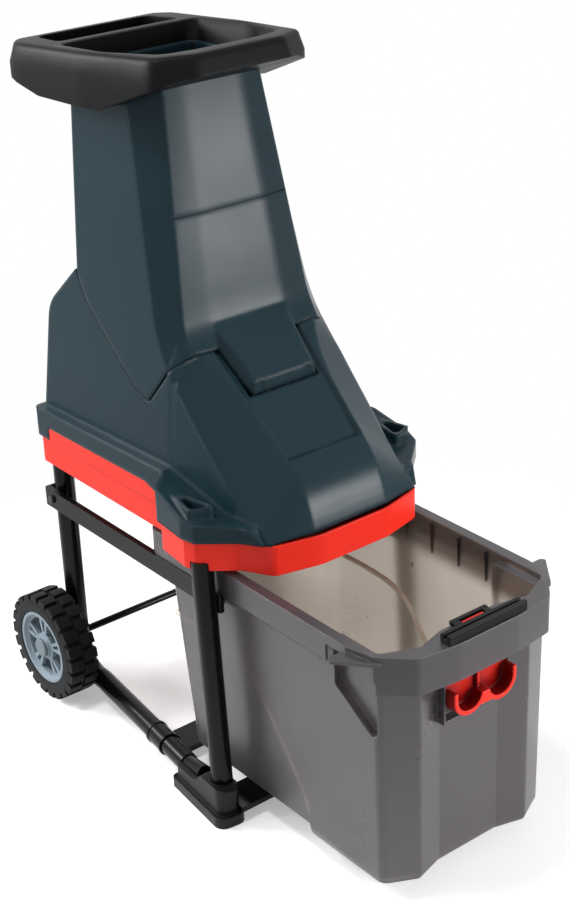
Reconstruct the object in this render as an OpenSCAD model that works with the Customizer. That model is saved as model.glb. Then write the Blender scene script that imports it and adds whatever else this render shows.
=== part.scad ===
// Garden shredder: feed funnel over a motor housing, on a wheeled tube frame with a pull-out collecting box.
// Millimetres, +Z up, front towards -Y, origin on the ground under the middle of the whole machine.

/* [Wheels] */
// Wheel diameter
wheel_d = 180; // [160:1:190]
// Wheel width
wheel_w = 52; // [40:1:56]
// Hub diameter
hub_d = 122; // [100:1:128]
// Lugs in one row of the tread
lug_count = 22; // [12:1:26]
// Axle diameter
axle_d = 12; // [8:0.5:14]

/* [Frame] */
// Tube diameter
tube_d = 32; // [26:0.5:34]
// Tube wall
tube_wall = 2; // [1:0.1:4]
// Rear leg, distance from the middle
rear_leg_x = 145; // [140:0.5:147]
// Height of the lower tube's centre line
lower_tube_z = 29; // [26:0.5:32]
// Radius of the bend between rear leg and lower tube
bend_r = 52; // [46:1:54]
// Angle at which the lower tubes splay outwards
splay = 6.8; // [5:0.1:7]
// Length of the straight lower tube
lower_run = 281; // [266:1:286]
// Front leg, distance from the middle
front_leg_x = 188; // [187:0.5:190]
// Front leg's distance in front of the axle, at the base
front_leg_y = 430; // [426:1:434]
// How far the front leg's foot stands in front of its top
front_leg_rake = 20; // [10:1:24]
// Slide rail height
rail_h = 30; // [20:1:40]
// Slide rail thickness
rail_t = 9.6; // [6:0.2:9.8]
// Height of the rail's upper edge
rail_top = 360; // [350:1:362]
// Foot height at the front leg
foot_h = 60; // [50:1:70]
// Cross plate thickness
plate_t = 3; // [2:0.5:4]

/* [Base tray] */
// Lower edge of the base tray
base_bottom = 408; // [406:0.5:412]
// Upper edge of the base tray
base_top = 453; // [448:1:458]
// Underside of the floor, where the legs end
floor_z = 420; // [418:1:424]
// Wall of the mouldings
wall = 4; // [3:0.2:5]
// Half width of the base behind the pods
base_half = 168; // [166:1:172]
// How far the pods reach from the middle
pod_half = 206; // [205:0.5:209]

/* [Body] */
// How far the hopper rim's front edge stands above the feed funnel's upper edge
rim_cover = 51; // [45:1:60]
// Half width of the body at the reference height near the funnel's upper edge
body_top_half = 111; // [106:1:112]
// Widening of the body side for each millimetre of height
body_taper = 0.083; // [0.075:0.001:0.085]
// Height of the ledge at the rear
ledge_z = 498; // [494:1:502]
// Height of the hopper rim's front edge
rim_top = 1085; // [1078:1:1095]
// Gap along the seam between funnel and housing
seam_gap = 1.2; // [0.8:0.1:2]

/* [Collecting box] */
// Underside of the box in front of its step
box_bottom = 28; // [27:0.5:32]
// Upper edge of the box rim
box_top = 400; // [396:1:402]
// Half width of the box at its rim flange
flange_half = 168; // [165:0.5:169]
// Box wall
box_wall = 3.5; // [2.5:0.1:4.5]
// Upward travel of the locking slider
lock_travel = 12; // [6:0.5:13]

/* [Cutting unit] */
// Distance of the motor axis in front of the wheel axle
motor_y = 345; // [340:1:350]
// Motor diameter
motor_d = 108; // [90:1:112]
// Motor height
motor_h = 104; // [90:1:108]
// Shaft diameter
shaft_d = 16; // [12:0.5:20]
// Blade disc diameter
disc_d = 226; // [210:1:234]
// Blade disc thickness
disc_t = 8; // [6:0.5:9]

/* [Controls] */
// Lock knob diameter
knob_d = 40; // [30:1:50]
// Push button travel
button_travel = 3; // [2:0.5:4]
// Diameter of the on and off buttons
button_d = 20; // [14:0.5:24]

/* [Hidden] */
$fn = 48;

// Clearance of a running fit, of a seat and between pieces that pass each other
fit = 0.05;
seat = 0.3;
pass = 0.6;
// Steps along a rounded corner
arc_steps = 6;

// Height of the feed funnel's upper edge, and the height at which its corners are measured
funnel_top = rim_top - rim_cover;
chute_ref = 1034;
tube_r = tube_d / 2;
wheel_r = wheel_d / 2;
axle_r = axle_d / 2;
charcoal = "#2b2c2e";
slate = "#44545c";
red = "#e8392c";
steel = "#8d9196";
black_paint = "#17181a";

// Direction of a plane vector, and the arc that rounds one corner of an outline
function unit(v) = v / norm(v);
function rounded_corner(before, corner, after, radius) =
    let (u = unit(before - corner))
    let (v = unit(after - corner))
    let (half = acos(max(-1, min(1, u * v))) / 2)
    let (centre = corner + unit(u + v) * radius / sin(half))
    let (start = corner + u * radius / tan(half) - centre)
    let (turn = sign(u[0] * v[1] - u[1] * v[0]) * (180 - 2 * half))
    let (first = atan2(start[1], start[0]))
    [for (i = [0:arc_steps]) let (a = first - turn * i / arc_steps) centre + radius * [cos(a), sin(a)]];

// Closed outline through corner points, each rounded by its own radius; a radius of 0 stays sharp
function rounded_outline(points, radii) =
    let (n = len(points))
    [for (i = [0:n - 1])
        each radii[i] == 0
            ? [points[i]]
            : rounded_corner(points[(i + n - 1) % n], points[i], points[(i + 1) % n], radii[i])];

// Right half of an outline, from front to back, completed by its mirror image
function mirrored(half) = concat(half, [for (i = [len(half) - 1:-1:0]) [-half[i][0], half[i][1]]]);
function mirrored_list(half) = concat(half, [for (i = [len(half) - 1:-1:0]) half[i]]);

// An outline lifted to a height, and a front section set at a distance along the machine
function at_height(z, outline) = [for (p = outline) [p[0], p[1], z]];
function at_length(y, section) = [for (p = section) [p[0], y, p[1]]];

// Middle of a list of points
function sum(list, i = 0) = i == len(list) - 1 ? list[i] : list[i] + sum(list, i + 1);
function middle(ring) = sum(ring) / len(ring);

// Solid through rings of points with equal counts, each ring seen anticlockwise from the last one;
// both ends are closed by fans around their middles
module loft(rings) {
    n = len(rings[0]);
    last = len(rings) - 1;
    points = concat([for (ring = rings) each ring], [middle(rings[0]), middle(rings[last])]);
    bottom_middle = n * (last + 1);
    top_middle = bottom_middle + 1;
    sides = [
        for (j = [0:last - 1])
            for (i = [0:n - 1])
                let (a = j * n + i)
                let (b = j * n + (i + 1) % n)
                each [[a, a + n, b + n], [a, b + n, b]]
    ];
    bottom = [for (i = [0:n - 1]) [bottom_middle, i, (i + 1) % n]];
    top = [for (i = [0:n - 1]) [top_middle, last * n + (i + 1) % n, last * n + i]];
    polyhedron(points, concat(bottom, sides, top));
}

// A side profile (y, z) spread across the machine
module across(half) {
    rotate([90, 0, 90]) linear_extrude(2 * half, center = true) children();
}

// A front profile (x, z) drawn from y0 back to y1
module lengthwise(y0, y1) {
    translate([0, y1, 0]) rotate([90, 0, 0]) linear_extrude(y1 - y0) children();
}

module block(low, high) {
    translate(low) cube(high - low);
}

// A straight rod between two points
module rod(from, to, radius) {
    way = to - from;
    tilt = acos(way[2] / norm(way));
    heading = atan2(way[1], way[0]);
    translate(from) rotate([0, tilt, heading]) cylinder(h = norm(way), r = radius);
}

module ring(outer, inner, height) {
    difference() {
        cylinder(h = height, r = outer);
        translate([0, 0, -1]) cylinder(h = height + 2, r = inner);
    }
}

// The machine is measured from the wheel axle, then moved so that the origin lies under its middle
box_front = 806;
shift_y = (box_front - wheel_r) / 2;
module placed() {
    translate([0, shift_y, 0]) children();
}

// side is -1 for the left and 1 for the right
module on_side(side) {
    if (side < 0) mirror([1, 0, 0]) children();
    else children();
}

// Wheels, drawn around +Z with the outer face up, then laid on the axle
wheel_inner_x = rear_leg_x + tube_r + 5;
module on_axle(side, x) {
    placed() on_side(side) translate([x, 0, wheel_r]) rotate([0, 90, 0]) children();
}

lug_depth = 5;
lug_row_w = wheel_w * 0.44;
tread_r = wheel_r - lug_depth;
module tyre_shape() {
    shoulder = 10;
    rotate_extrude()
        polygon(rounded_outline(
            [[hub_d / 2 + fit, 0], [tread_r, 0], [tread_r, wheel_w], [hub_d / 2 + fit, wheel_w]],
            [3, shoulder, shoulder, 3]));
    intersection() {
        translate([0, 0, 1]) cylinder(h = wheel_w - 2, r = wheel_r, $fn = 96);
        for (row = [0, 1])
            for (i = [0:lug_count - 1])
                rotate([0, 0, (i + row / 2) * 360 / lug_count])
                    tread_lug(row);
    }
}
module tread_lug(row) {
    lug_len = PI * wheel_d / lug_count * 0.66;
    low = row == 0 ? 1 : wheel_w - 1 - lug_row_w;
    block([tread_r - 12, -lug_len / 2, low], [wheel_r + 1, lug_len / 2, low + lug_row_w]);
}
module wheel_tyre_left() color("#26282a") on_axle(-1, wheel_inner_x) tyre_shape();
module wheel_tyre_right() color("#26282a") on_axle(1, wheel_inner_x) tyre_shape();

hub_r = hub_d / 2;
boss_r = 17;
dish = 7;
module hub_shape() {
    spoke_pairs = 5;
    window_in = boss_r + 6;
    window_out = hub_r - 11;
    difference() {
        rotate_extrude() polygon([
            [axle_r + fit, 0], [boss_r, 0], [boss_r, wheel_w - dish - 8], [hub_r - 6, wheel_w - dish - 8],
            [hub_r - 6, 2], [hub_r, 2], [hub_r, wheel_w - 1], [hub_r - 5, wheel_w - 1],
            [hub_r - 8, wheel_w - dish], [boss_r + 2, wheel_w - dish], [boss_r, wheel_w - 2],
            [axle_r + fit, wheel_w - 2]
        ]);
        for (i = [0:spoke_pairs - 1])
            rotate([0, 0, i * 360 / spoke_pairs]) {
                hub_window(window_in, window_out, 44);
                rotate([0, 0, 180 / spoke_pairs]) hub_window(window_in + 4, window_out - 2, 10);
            }
    }
}
module hub_window(inner, outer, angle) {
    steps = 4;
    arc = [for (i = [0:steps]) outer * [cos(angle * (i / steps - 0.5)), sin(angle * (i / steps - 0.5))]];
    back = [for (i = [0:steps]) inner * [cos(angle * (0.5 - i / steps)), sin(angle * (0.5 - i / steps))]];
    translate([0, 0, wheel_w - dish - 9]) linear_extrude(10) polygon(concat(arc, back));
}
module wheel_hub_left() color("#9aa7ad") on_axle(-1, wheel_inner_x) hub_shape();
module wheel_hub_right() color("#9aa7ad") on_axle(1, wheel_inner_x) hub_shape();

cap_reach = 3;
module cap_shape() {
    translate([0, 0, wheel_w - 2])
        rotate_extrude() polygon(rounded_outline(
            [[axle_r + 1, 0], [boss_r - 1, 0], [boss_r - 1, 2 + cap_reach], [0, 2 + cap_reach],
                [0, cap_reach - 0.5], [axle_r + 1, cap_reach - 0.5]],
            [0, 0, 2.5, 0, 0, 0]));
}
module hub_cap_left() color(slate) on_axle(-1, wheel_inner_x) cap_shape();
module hub_cap_right() color(slate) on_axle(1, wheel_inner_x) cap_shape();

axle_end = wheel_inner_x + wheel_w;
module axle() color(steel) placed()
    translate([-axle_end, 0, wheel_r]) rotate([0, 90, 0]) cylinder(h = 2 * axle_end, r = axle_r);

module axle_washers() color(steel)
    for (side = [-1, 1])
        on_axle(side, rear_leg_x + tube_r + seat)
            ring(axle_r + 7, axle_r + fit, wheel_inner_x - rear_leg_x - tube_r - 2 * seat);

// Rear tube: leg, bend and splayed lower run as one tube with a mitre, and a narrowed front end
mitre_y = 68;
stub_r = 12.5;
stub_rise = 12;
stub_len = 52;
bend_z = lower_tube_z + bend_r;
plug = 14;
lower_start = [rear_leg_x, -mitre_y, lower_tube_z];
lower_way = [sin(splay), -cos(splay), 0];
lower_end = lower_start + lower_run * lower_way;
stub_start = lower_end - 8 * lower_way;
stub_end = lower_end + stub_len * lower_way + [0, 0, stub_rise];
module lower_frame(along) {
    translate(lower_start) rotate([0, 0, splay]) rotate([90, 0, 0]) translate([0, 0, along]) children();
}
// The space in front of the mitre plane or behind it
module mitre_side(in_front) {
    reach = 400;
    translate(lower_start) rotate([0, 0, splay / 2])
        translate([-reach / 2, in_front ? -reach : 0, -reach / 2]) cube(reach);
}
module tube_path(r, short) {
    before = 2 * tube_r;
    translate([rear_leg_x, 0, bend_z]) cylinder(h = floor_z - bend_z + (short > 0 ? 1 : 0), r = r);
    translate([rear_leg_x, -bend_r, bend_z]) rotate([90, 0, 90]) rotate([0, 0, -90])
        rotate_extrude(angle = 90) translate([bend_r, 0]) circle(r);
    intersection() {
        translate([rear_leg_x, -bend_r, lower_tube_z]) rotate([90, 0, 0]) cylinder(h = 2 * before, r = r);
        mitre_side(false);
    }
    intersection() {
        lower_frame(-before) cylinder(h = before + lower_run - short, r = r);
        mitre_side(true);
    }
}
module rear_tube() {
    difference() {
        union() {
            tube_path(tube_r, 0);
            rod(stub_start, stub_end, stub_r);
        }
        tube_path(tube_r - tube_wall, plug);
        translate([0, 0, wheel_r]) rotate([0, 90, 0]) cylinder(h = 300, r = axle_r + fit);
        translate([rear_leg_x, 0, bolt_z]) rotate([0, 90, 0]) cylinder(h = 60, r = screw_r + fit);
    }
}
module rear_tube_left() color(black_paint) placed() on_side(-1) rear_tube();
module rear_tube_right() color(black_paint) placed() on_side(1) rear_tube();

collar_at = 178;
collar_len = 44;
collar_flange_r = tube_r + 2.8;
module joint_collars() color(black_paint) placed()
    for (side = [-1, 1])
        on_side(side)
            lower_frame(collar_at) difference() {
                union() {
                    cylinder(h = collar_len, r = tube_r + 1.6);
                    for (z = [0, collar_len - 5]) translate([0, 0, z]) cylinder(h = 5, r = collar_flange_r);
                }
                translate([0, 0, -1]) cylinder(h = collar_len + 2, r = tube_r + fit);
            }

// Front leg, raked forward, from the base floor down into its foot
leg_foot_z = 8;
leg_top = [front_leg_x, -front_leg_y, floor_z];
leg_low = [front_leg_x, -front_leg_y - front_leg_rake, leg_foot_z];
leg_over = (leg_top - leg_low) * 0.1;
module front_leg() {
    intersection() {
        difference() {
            rod(leg_low - leg_over, leg_top + leg_over, tube_r);
            rod(leg_low - leg_over * 2, leg_top + leg_over * 2, tube_r - tube_wall);
            translate([rail_in, front_bolt_y, bolt_z]) rotate([0, 90, 0])
                cylinder(h = front_leg_x - rail_in, r = screw_r + fit);
        }
        block([0, -600, leg_foot_z], [300, -300, floor_z]);
    }
}
// The leg's straight line with a clearance, for what it passes through
module front_leg_room() {
    rod(leg_low - leg_over, leg_top + leg_over, tube_r + seat);
}
module front_leg_left() color(black_paint) placed() on_side(-1) front_leg();
module front_leg_right() color(black_paint) placed() on_side(1) front_leg();

// Slide rail: a flat bar outside the rear leg and inside the front leg, returned behind the rear leg
rail_in = rear_leg_x + tube_r + seat;
rail_front = front_leg_y + 12;
module slide_rail() {
    return_len = 20;
    back = tube_r + seat;
    difference() {
        translate([0, 0, rail_top - rail_h]) linear_extrude(rail_h) polygon(rounded_outline(
            [[rail_in, -rail_front], [rail_in + rail_t, -rail_front], [rail_in + rail_t, back + 4],
                [rail_in - return_len, back + 4], [rail_in - return_len, back], [rail_in, back]],
            [3, 3, 4, 1.5, 1.5, 0]));
        for (y = [0, front_bolt_y])
            translate([rail_in - 1, y, bolt_z]) rotate([0, 90, 0])
                cylinder(h = rail_t + 2, r = screw_r + fit);
    }
}
module slide_rail_left() color(black_paint) placed() on_side(-1) slide_rail();
module slide_rail_right() color(black_paint) placed() on_side(1) slide_rail();

// Cross plates, folded down along their long edges
front_plate_y = [430, 486];
rear_plate_y = [257, 311];
plate_lip = 9;
module cross_plate(span, top, half_rear, half_front) {
    for (part = [0, 1, 2])
        translate([0, 0, part == 0 ? top - plate_t : top - plate_lip])
            linear_extrude(part == 0 ? plate_t : plate_lip)
                polygon(plate_outline(
                    part == 2 ? span[1] - plate_t : span[0],
                    part == 1 ? span[0] + plate_t : span[1],
                    half_rear, half_front, span));
}
function plate_half(y, rear, front, span) = rear + (front - rear) * (y - span[0]) / (span[1] - span[0]);
function plate_outline(y0, y1, rear, front, span) = mirrored(
    [[plate_half(y1, rear, front, span), -y1], [plate_half(y0, rear, front, span), -y0]]);
tube_inner = function (y) lower_start[0] + (y + lower_start[1]) * tan(splay) - tube_r / cos(splay) - seat;
foot_inner = 174;
plate_tuck = 8;
module front_plate() color(black_paint) placed() difference() {
    cross_plate(front_plate_y, box_bottom - 2, foot_inner + plate_tuck, foot_inner + plate_tuck);
    for (side = [-1, 1]) on_side(side) front_leg_room();
}
module rear_plate() color(black_paint) placed() difference() {
    cross_plate(rear_plate_y, lower_tube_z - 3, tube_inner(rear_plate_y[0]), tube_inner(rear_plate_y[1]));
    for (side = [-1, 1]) on_side(side)
        lower_frame(collar_at - seat) cylinder(h = collar_len + 2 * seat, r = collar_flange_r + seat);
}

// Foot: a splayed plastic shoe that takes the front leg and the end of the lower tube
foot_step = 17;
foot_points = [[foot_inner, -488], [221, -482], [206, -340], [163, -344]];
foot_top_points = [[foot_inner + 3, -480], [214, -474], [201, -346], [168, -348]];
module foot_solid() {
    linear_extrude(foot_step) polygon(rounded_outline(foot_points, [14, 16, 8, 8]));
    intersection() {
        linear_extrude(foot_h) polygon(rounded_outline(foot_top_points, [12, 14, 8, 8]));
        translate([foot_inner, 0, 0]) across(100) polygon(rounded_outline(
            [[-490, 0], [-330, 0], [-330, 37], [-404, 41], [-420, foot_h], [-474, foot_h], [-490, 40]],
            [0, 0, 0, 30, 8, 10, 10]));
    }
}
module foot() {
    difference() {
        foot_solid();
        intersection() {
            front_leg_room();
            block([0, -600, leg_foot_z - seat], [300, -300, foot_h + 10]);
        }
        rod(lower_end - 40 * lower_way, lower_end + seat * lower_way, tube_r + seat);
        rod(stub_start, stub_end + seat * unit(stub_end - stub_start), stub_r + seat);
        translate([leg_low[0], leg_low[1], -1]) {
            cylinder(h = 6 + fit, r = 6 + seat);
            cylinder(h = 20, r = screw_r + fit);
        }
        block([100, -front_plate_y[1] - seat, box_bottom - 2 - plate_lip - seat],
            [foot_inner + plate_tuck + seat, -front_plate_y[0] + seat, box_bottom - 2 + seat]);
    }
}
module foot_left() color(charcoal) placed() on_side(-1) foot();
module foot_right() color(charcoal) placed() on_side(1) foot();

// Collecting box, drawn where it stands when pulled out
box_rear = 265;
box_step_y = 603;
box_step_z = box_bottom + 22;
box_panel_y = 768;
box_ridge = [100, 781];
box_crease_x = 54;
box_corner_y = 757;
box_side = flange_half - 13;
flange_low = rail_top + 0.4;
front_band_low = 344;
lip_t = 4;
box_draft = 0.014;
box_lean = 0.11;

function box_half(z) = box_side - (box_top - z) * box_draft;
function box_outline(z, inset, pull) =
    let (side = box_half(z) - inset - pull)
    let (ridge = [box_ridge[0] - inset, -box_ridge[1] + inset + pull])
    let (rear = -box_rear - 8 - (box_top - z) * box_lean - inset - pull)
    rounded_outline(
        mirrored([[box_crease_x - inset, -box_panel_y + inset + pull], ridge,
            [side, -box_corner_y + inset + pull], [side, rear]]),
        mirrored_list([6, 9, 16, 34]));
module box_form(low, high, inset) {
    loft([
        at_height(low, box_outline(low, inset, 9)),
        at_height(low + 4, box_outline(low, inset, 3)),
        at_height(low + 12, box_outline(low, inset, 0)),
        at_height(high, box_outline(high, inset, 0))
    ]);
}
rim_points = mirrored([[52, -box_front], [119, -box_front + 8], [flange_half - 10, -box_corner_y],
    [flange_half, -712], [flange_half, -box_rear]]);
rim_radii = mirrored_list([60, 14, 24, 14, 22]);
function inset_points(points, d) = [for (p = points) [p[0] - sign(p[0]) * d, p[1] + (p[1] < -500 ? d : -d)]];
module rim_prism(low, high, d) {
    translate([0, 0, low]) linear_extrude(high - low)
        polygon(rounded_outline(inset_points(rim_points, d), rim_radii));
}
module rim_band() {
    difference() {
        rim_prism(front_band_low, box_top, 0);
        rim_prism(front_band_low - 1, box_top - lip_t, box_wall);
        block([-300, -box_corner_y, 0], [300, 0, flange_low]);
    }
}
// Slope under the rear of the box, which passes over the lower tubes
module box_step(rise) {
    across(300) polygon([[-box_step_y - 12 - rise, 0], [-box_step_y - rise, box_step_z + rise],
        [0, box_step_z + rise], [0, 0]]);
}
ear_z = box_top - 8;
ear_t = 5;
ear_points = [[150, -772], [198, -714], [192, -708], [flange_half - 6, -708], [150, -755]];
pocket_depth = 13;
pocket_top = ear_z - ear_t - 1;
module finger_pocket(x_in, x_out, grow) {
    translate([(x_in + x_out) / 2, 0, 0]) across((x_out - x_in) / 2)
        polygon(rounded_outline(
            [[-754 - grow, 264 - grow], [-672 + grow, 318 - grow], [-672 + grow, pocket_top + grow],
                [-754 - grow, pocket_top + grow]],
            [8, 8, 4, 4]));
}
bolt_half = 20;
bolt_y = [776, 770];
bolt_root = 0.5;
slider_half = 57;
slider_z = [270, 332];
slider_y = [785, bolt_y[0]];
guide_rib = 3;
module box_outside() {
    rim_band();
    box_form(box_bottom, box_top - lip_t / 2, 0);
    for (side = [-1, 1]) on_side(side) {
        translate([0, 0, ear_z - ear_t]) linear_extrude(ear_t)
            polygon(rounded_outline(ear_points, [4, 3, 3, 2, 2]));
        block([slider_half + seat, -slider_y[0] + 2, slider_z[0] - 2 - guide_rib],
            [slider_half + seat + guide_rib, -box_panel_y + 2, front_band_low + 2]);
    }
    block([-slider_half - seat - 1, -slider_y[0] + 2, slider_z[0] - 2 - guide_rib],
        [slider_half + seat + 1, -box_panel_y + 2, slider_z[0] - seat]);
}
module collecting_box() color("#8b8890", 0.75) placed() difference() {
    box_outside();
    box_step(0);
    difference() {
        box_form(box_bottom + box_wall, box_top + 1, box_wall);
        box_step(box_wall);
        for (side = [-1, 1]) on_side(side)
            finger_pocket(box_side - pocket_depth - box_wall, box_side + 20, box_wall);
    }
    for (side = [-1, 1]) on_side(side) finger_pocket(box_side - pocket_depth, 220, 0);
    block([-bolt_half - seat, -bolt_y[0] - bolt_root - seat, box_top - 2 * lip_t],
        [bolt_half + seat, -bolt_y[1] + seat, box_top + 50]);
}

// Black bar on the box rim, behind which the lock bolt rises
guide_half = 70;
guide_y = [804, 785];
guide_h = 15;
module latch_guide() color(charcoal) placed()
    translate([0, 0, box_top]) linear_extrude(guide_h) polygon(rounded_outline(
        [[-guide_half, -guide_y[0] + 3], [-guide_half * 0.6, -guide_y[0]], [guide_half * 0.6, -guide_y[0]],
            [guide_half, -guide_y[0] + 3], [guide_half, -guide_y[1]], [-guide_half, -guide_y[1]]],
        [3, 20, 20, 3, 3, 3]));

// Locking slider: two finger cups, open above, on a plate with the bolt
lock_reach = 8;
bolt_top = base_bottom + lock_reach - lock_travel;
cup_wall = 7;
cup_depth = 15;
lobe_r = slider_half / 2;
// Front view of the two lobes, or of the hollows in them
module lobes(inset) {
    for (side = [-1, 1]) translate([side * lobe_r, slider_z[0] + lobe_r]) {
        circle(lobe_r - inset);
        translate([inset - lobe_r, 0])
            square([2 * (lobe_r - inset), slider_z[1] - slider_z[0] - lobe_r + inset]);
    }
}
module slider_front() {
    waist = lobe_r * 0.6;
    lobes(0);
    translate([-lobe_r, slider_z[0] + lobe_r - waist]) square([2 * lobe_r, waist]);
}
module locking_slider() color(red) placed() {
    lengthwise(-slider_y[0], -slider_y[1]) slider_front();
    lengthwise(-slider_y[0] - cup_depth, -slider_y[0]) difference() {
        slider_front();
        lobes(cup_wall);
    }
    block([-bolt_half, -bolt_y[0] - bolt_root, slider_z[0] + 20], [bolt_half, -bolt_y[1], bolt_top]);
}

// Plan of the base: narrow behind, two pods over the front legs and a bowed front
base_rear = 23;
base_bow = 540;
pod_y = [350, 415, 436];
function base_points(d) = mirrored([
    [60, -base_bow + 2 + d], [130 - d / 2, -521 + d], [154 - d, -477 + d], [pod_half - 5 - d, -pod_y[2] + d],
    [pod_half - d, -pod_y[1]], [pod_half - 7 - d, -pod_y[0] - d], [base_half - d, -pod_y[0] + 24 - d],
    [base_half - d, base_rear - d]
]);
base_radii = mirrored_list([70, 16, 16, 12, 8, 12, 14, 12]);
module base_prism(low, high, d) {
    translate([0, 0, low]) linear_extrude(high - low) polygon(rounded_outline(base_points(d), base_radii));
}

// Raised part of the base's sides, let into the housing's skirt
side_panel = [[-318, base_top - 1], [-300, base_top + 17], [-276, base_top + 25], [-14, base_top + 20],
    [-14, base_top - 1]];
skirt_out = 4;
module side_panels(grow) {
    translate([0, 0, grow]) across(300) polygon(rounded_outline(
        [for (p = side_panel) p + [p[0] < -200 ? -grow : grow, 0]], [0, 14, 8, 4, 0]));
}

floor_top = floor_z + wall;
plate_z = 462;
plate_h = 8;
pillar_at = [[138, -250], [112, -446]];
pillar_r = 9;
screw_r = 3;
pod_screw_at = [185, -414];
pod_floor = 468;
leg_screw_at = [[rear_leg_x, 0], [front_leg_x, -front_leg_y]];
discharge = [[-92, -442, 0], [92, -252, 600]];
module base_tray() color(red) placed() difference() {
    union() {
        difference() {
            base_prism(base_bottom, base_top, 0);
            base_prism(floor_top, base_top + 1, wall);
            base_prism(base_bottom - 1, floor_z, wall);
        }
        intersection() {
            side_panels(0);
            difference() {
                base_prism(base_top - 1, base_top + 40, seat - skirt_out);
                base_prism(base_top - 2, base_top + 41, wall);
            }
        }
        for (side = [-1, 1]) on_side(side) {
            for (at = pillar_at)
                translate([at[0], at[1], floor_z + 1]) cylinder(h = plate_z - floor_z - 1, r = pillar_r);
            translate([pod_screw_at[0], pod_screw_at[1], floor_z + 1])
                cylinder(h = pod_floor - wall - seat - floor_z - 1, r = 6.5);
        }
    }
    block(discharge[0], discharge[1]);
    for (side = [-1, 1]) on_side(side) {
        intersection() {
            front_leg_room();
            block([0, -600, base_bottom - 1], [300, -300, floor_z]);
        }
        for (at = pillar_at) translate([at[0], at[1], floor_top]) cylinder(h = 60, r = screw_r + fit);
        translate([pod_screw_at[0], pod_screw_at[1], floor_top + 4]) cylinder(h = 60, r = 2.5 + fit);
        for (at = leg_screw_at) translate([at[0], at[1], floor_z - 1]) cylinder(h = 20, r = screw_r + fit);
    }
}

// Feed funnel: a tapering chute with a chamfered front, split from the housing along a V-shaped seam
function body_half(z) = body_top_half + body_taper * (chute_ref - z);
// The front ridges flare forward, down to the hood
flare_from = 740;
flare_at = 649;
flare_out = 20;
function foot_flare(z) = z < flare_from
    ? flare_out * pow((flare_from - z) / (flare_from - flare_at), 2.5) : 0;
panel_flare_from = 716;
panel_flare_at = 668;
panel_flare_out = 12;
function panel_flare(z) = z < panel_flare_from
    ? panel_flare_out * pow((panel_flare_from - z) / (panel_flare_from - panel_flare_at), 1.6) : 0;
// Corners of the chute at the reference height, and how far each moves for a millimetre of drop
panel_top = [83, -252];
panel_slope = [0.0875, -0.175];
ridge_y = -202;
ridge_slope = -0.2256;
rear_y = -60;
rear_slope = -0.039;
// The front panel bows forward a little
panel_bow = 6;
crown_r = 160;
function chute_outline(z, d) =
    let (drop = chute_ref - z)
    let (panel = panel_top + drop * panel_slope + [-0.6 * d, d - panel_flare(z)])
    let (crown = [0.55 * panel[0], panel[1] - panel_bow])
    let (ridge = [body_half(z) - d, ridge_y + drop * ridge_slope - foot_flare(z) + 0.8 * d])
    let (rear = [body_half(z) - d, rear_y + drop * rear_slope - d])
    rounded_outline(mirrored([crown, panel, ridge, rear]), mirrored_list([crown_r, 5, 12, 12]));
chute_levels = [630, flare_at, 658, panel_flare_at, 680, 692, 704, panel_flare_from, flare_from];
module chute_form(low, high, d) {
    between = [for (z = chute_levels) if (z > low + 1 && z < high - 1) z];
    loft([for (z = concat([low], between, [high])) at_height(z, chute_outline(z, d))]);
}
seam_points = [[-75, 740], [-104, 698], [-228, 602], [-265, 591], [-309, 644]];
seam_radii = [0, 20, 24, 10, 0];
// The seam's front end runs from the ridges to the hinge cover and leans forward, so the foot can swing out
seam_front = [[143, -318], [74, -324]];
seam_front_z = 660;
seam_lean = 0.8;
seam_front_low = 646;
module above_seam(gap) {
    lift = [0, gap];
    intersection() {
        across(300) polygon(rounded_outline(
            concat([[-20, 1300], [-400, 1300], [-400, seam_front_low + gap]],
                [for (i = [len(seam_points) - 1:-1:0]) seam_points[i] + lift],
                [[-20, 740 + gap]]),
            concat([0, 0, 0], [for (i = [len(seam_radii) - 1:-1:0]) seam_radii[i]], [0])));
        multmatrix([[1, 0, 0, 0], [0, 1, -seam_lean, seam_lean * seam_front_z], [0, 0, 1, 0]])
            translate([0, 0, 500]) linear_extrude(800) polygon(mirrored([
                seam_front[1] + lift, seam_front[0] + lift, [300, seam_front[0][1] + gap], [300, 600]]));
    }
}

// Hinge cover at the funnel's foot, which turns on the hinge pin
hinge_at = [-382, 628];
pin_r = 3;
ear_r = 6;
ear_x = [37, 45];
ear_web = [[-3, -5.2], [24, -6], [24, 10.5], [2, 5.6]];
// Room for an ear under the cover, shut or open
slot_r = ear_r + 2 * pass;
ear_slot = [[-slot_r, -20], [-slot_r, slot_r / 2], [-slot_r / 2, slot_r], [slot_r / 2, slot_r], [24, 11.8],
    [24, -20]];
hump_front = -391;
// Each section of the cover: y, half width at its foot, height and half width of its top
hump_sections = [[-300, 74, 709, 66], [-318, 71, 697, 64], [-378, 62, 649, 53], [hump_front, 58, 635, 53]];
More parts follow.
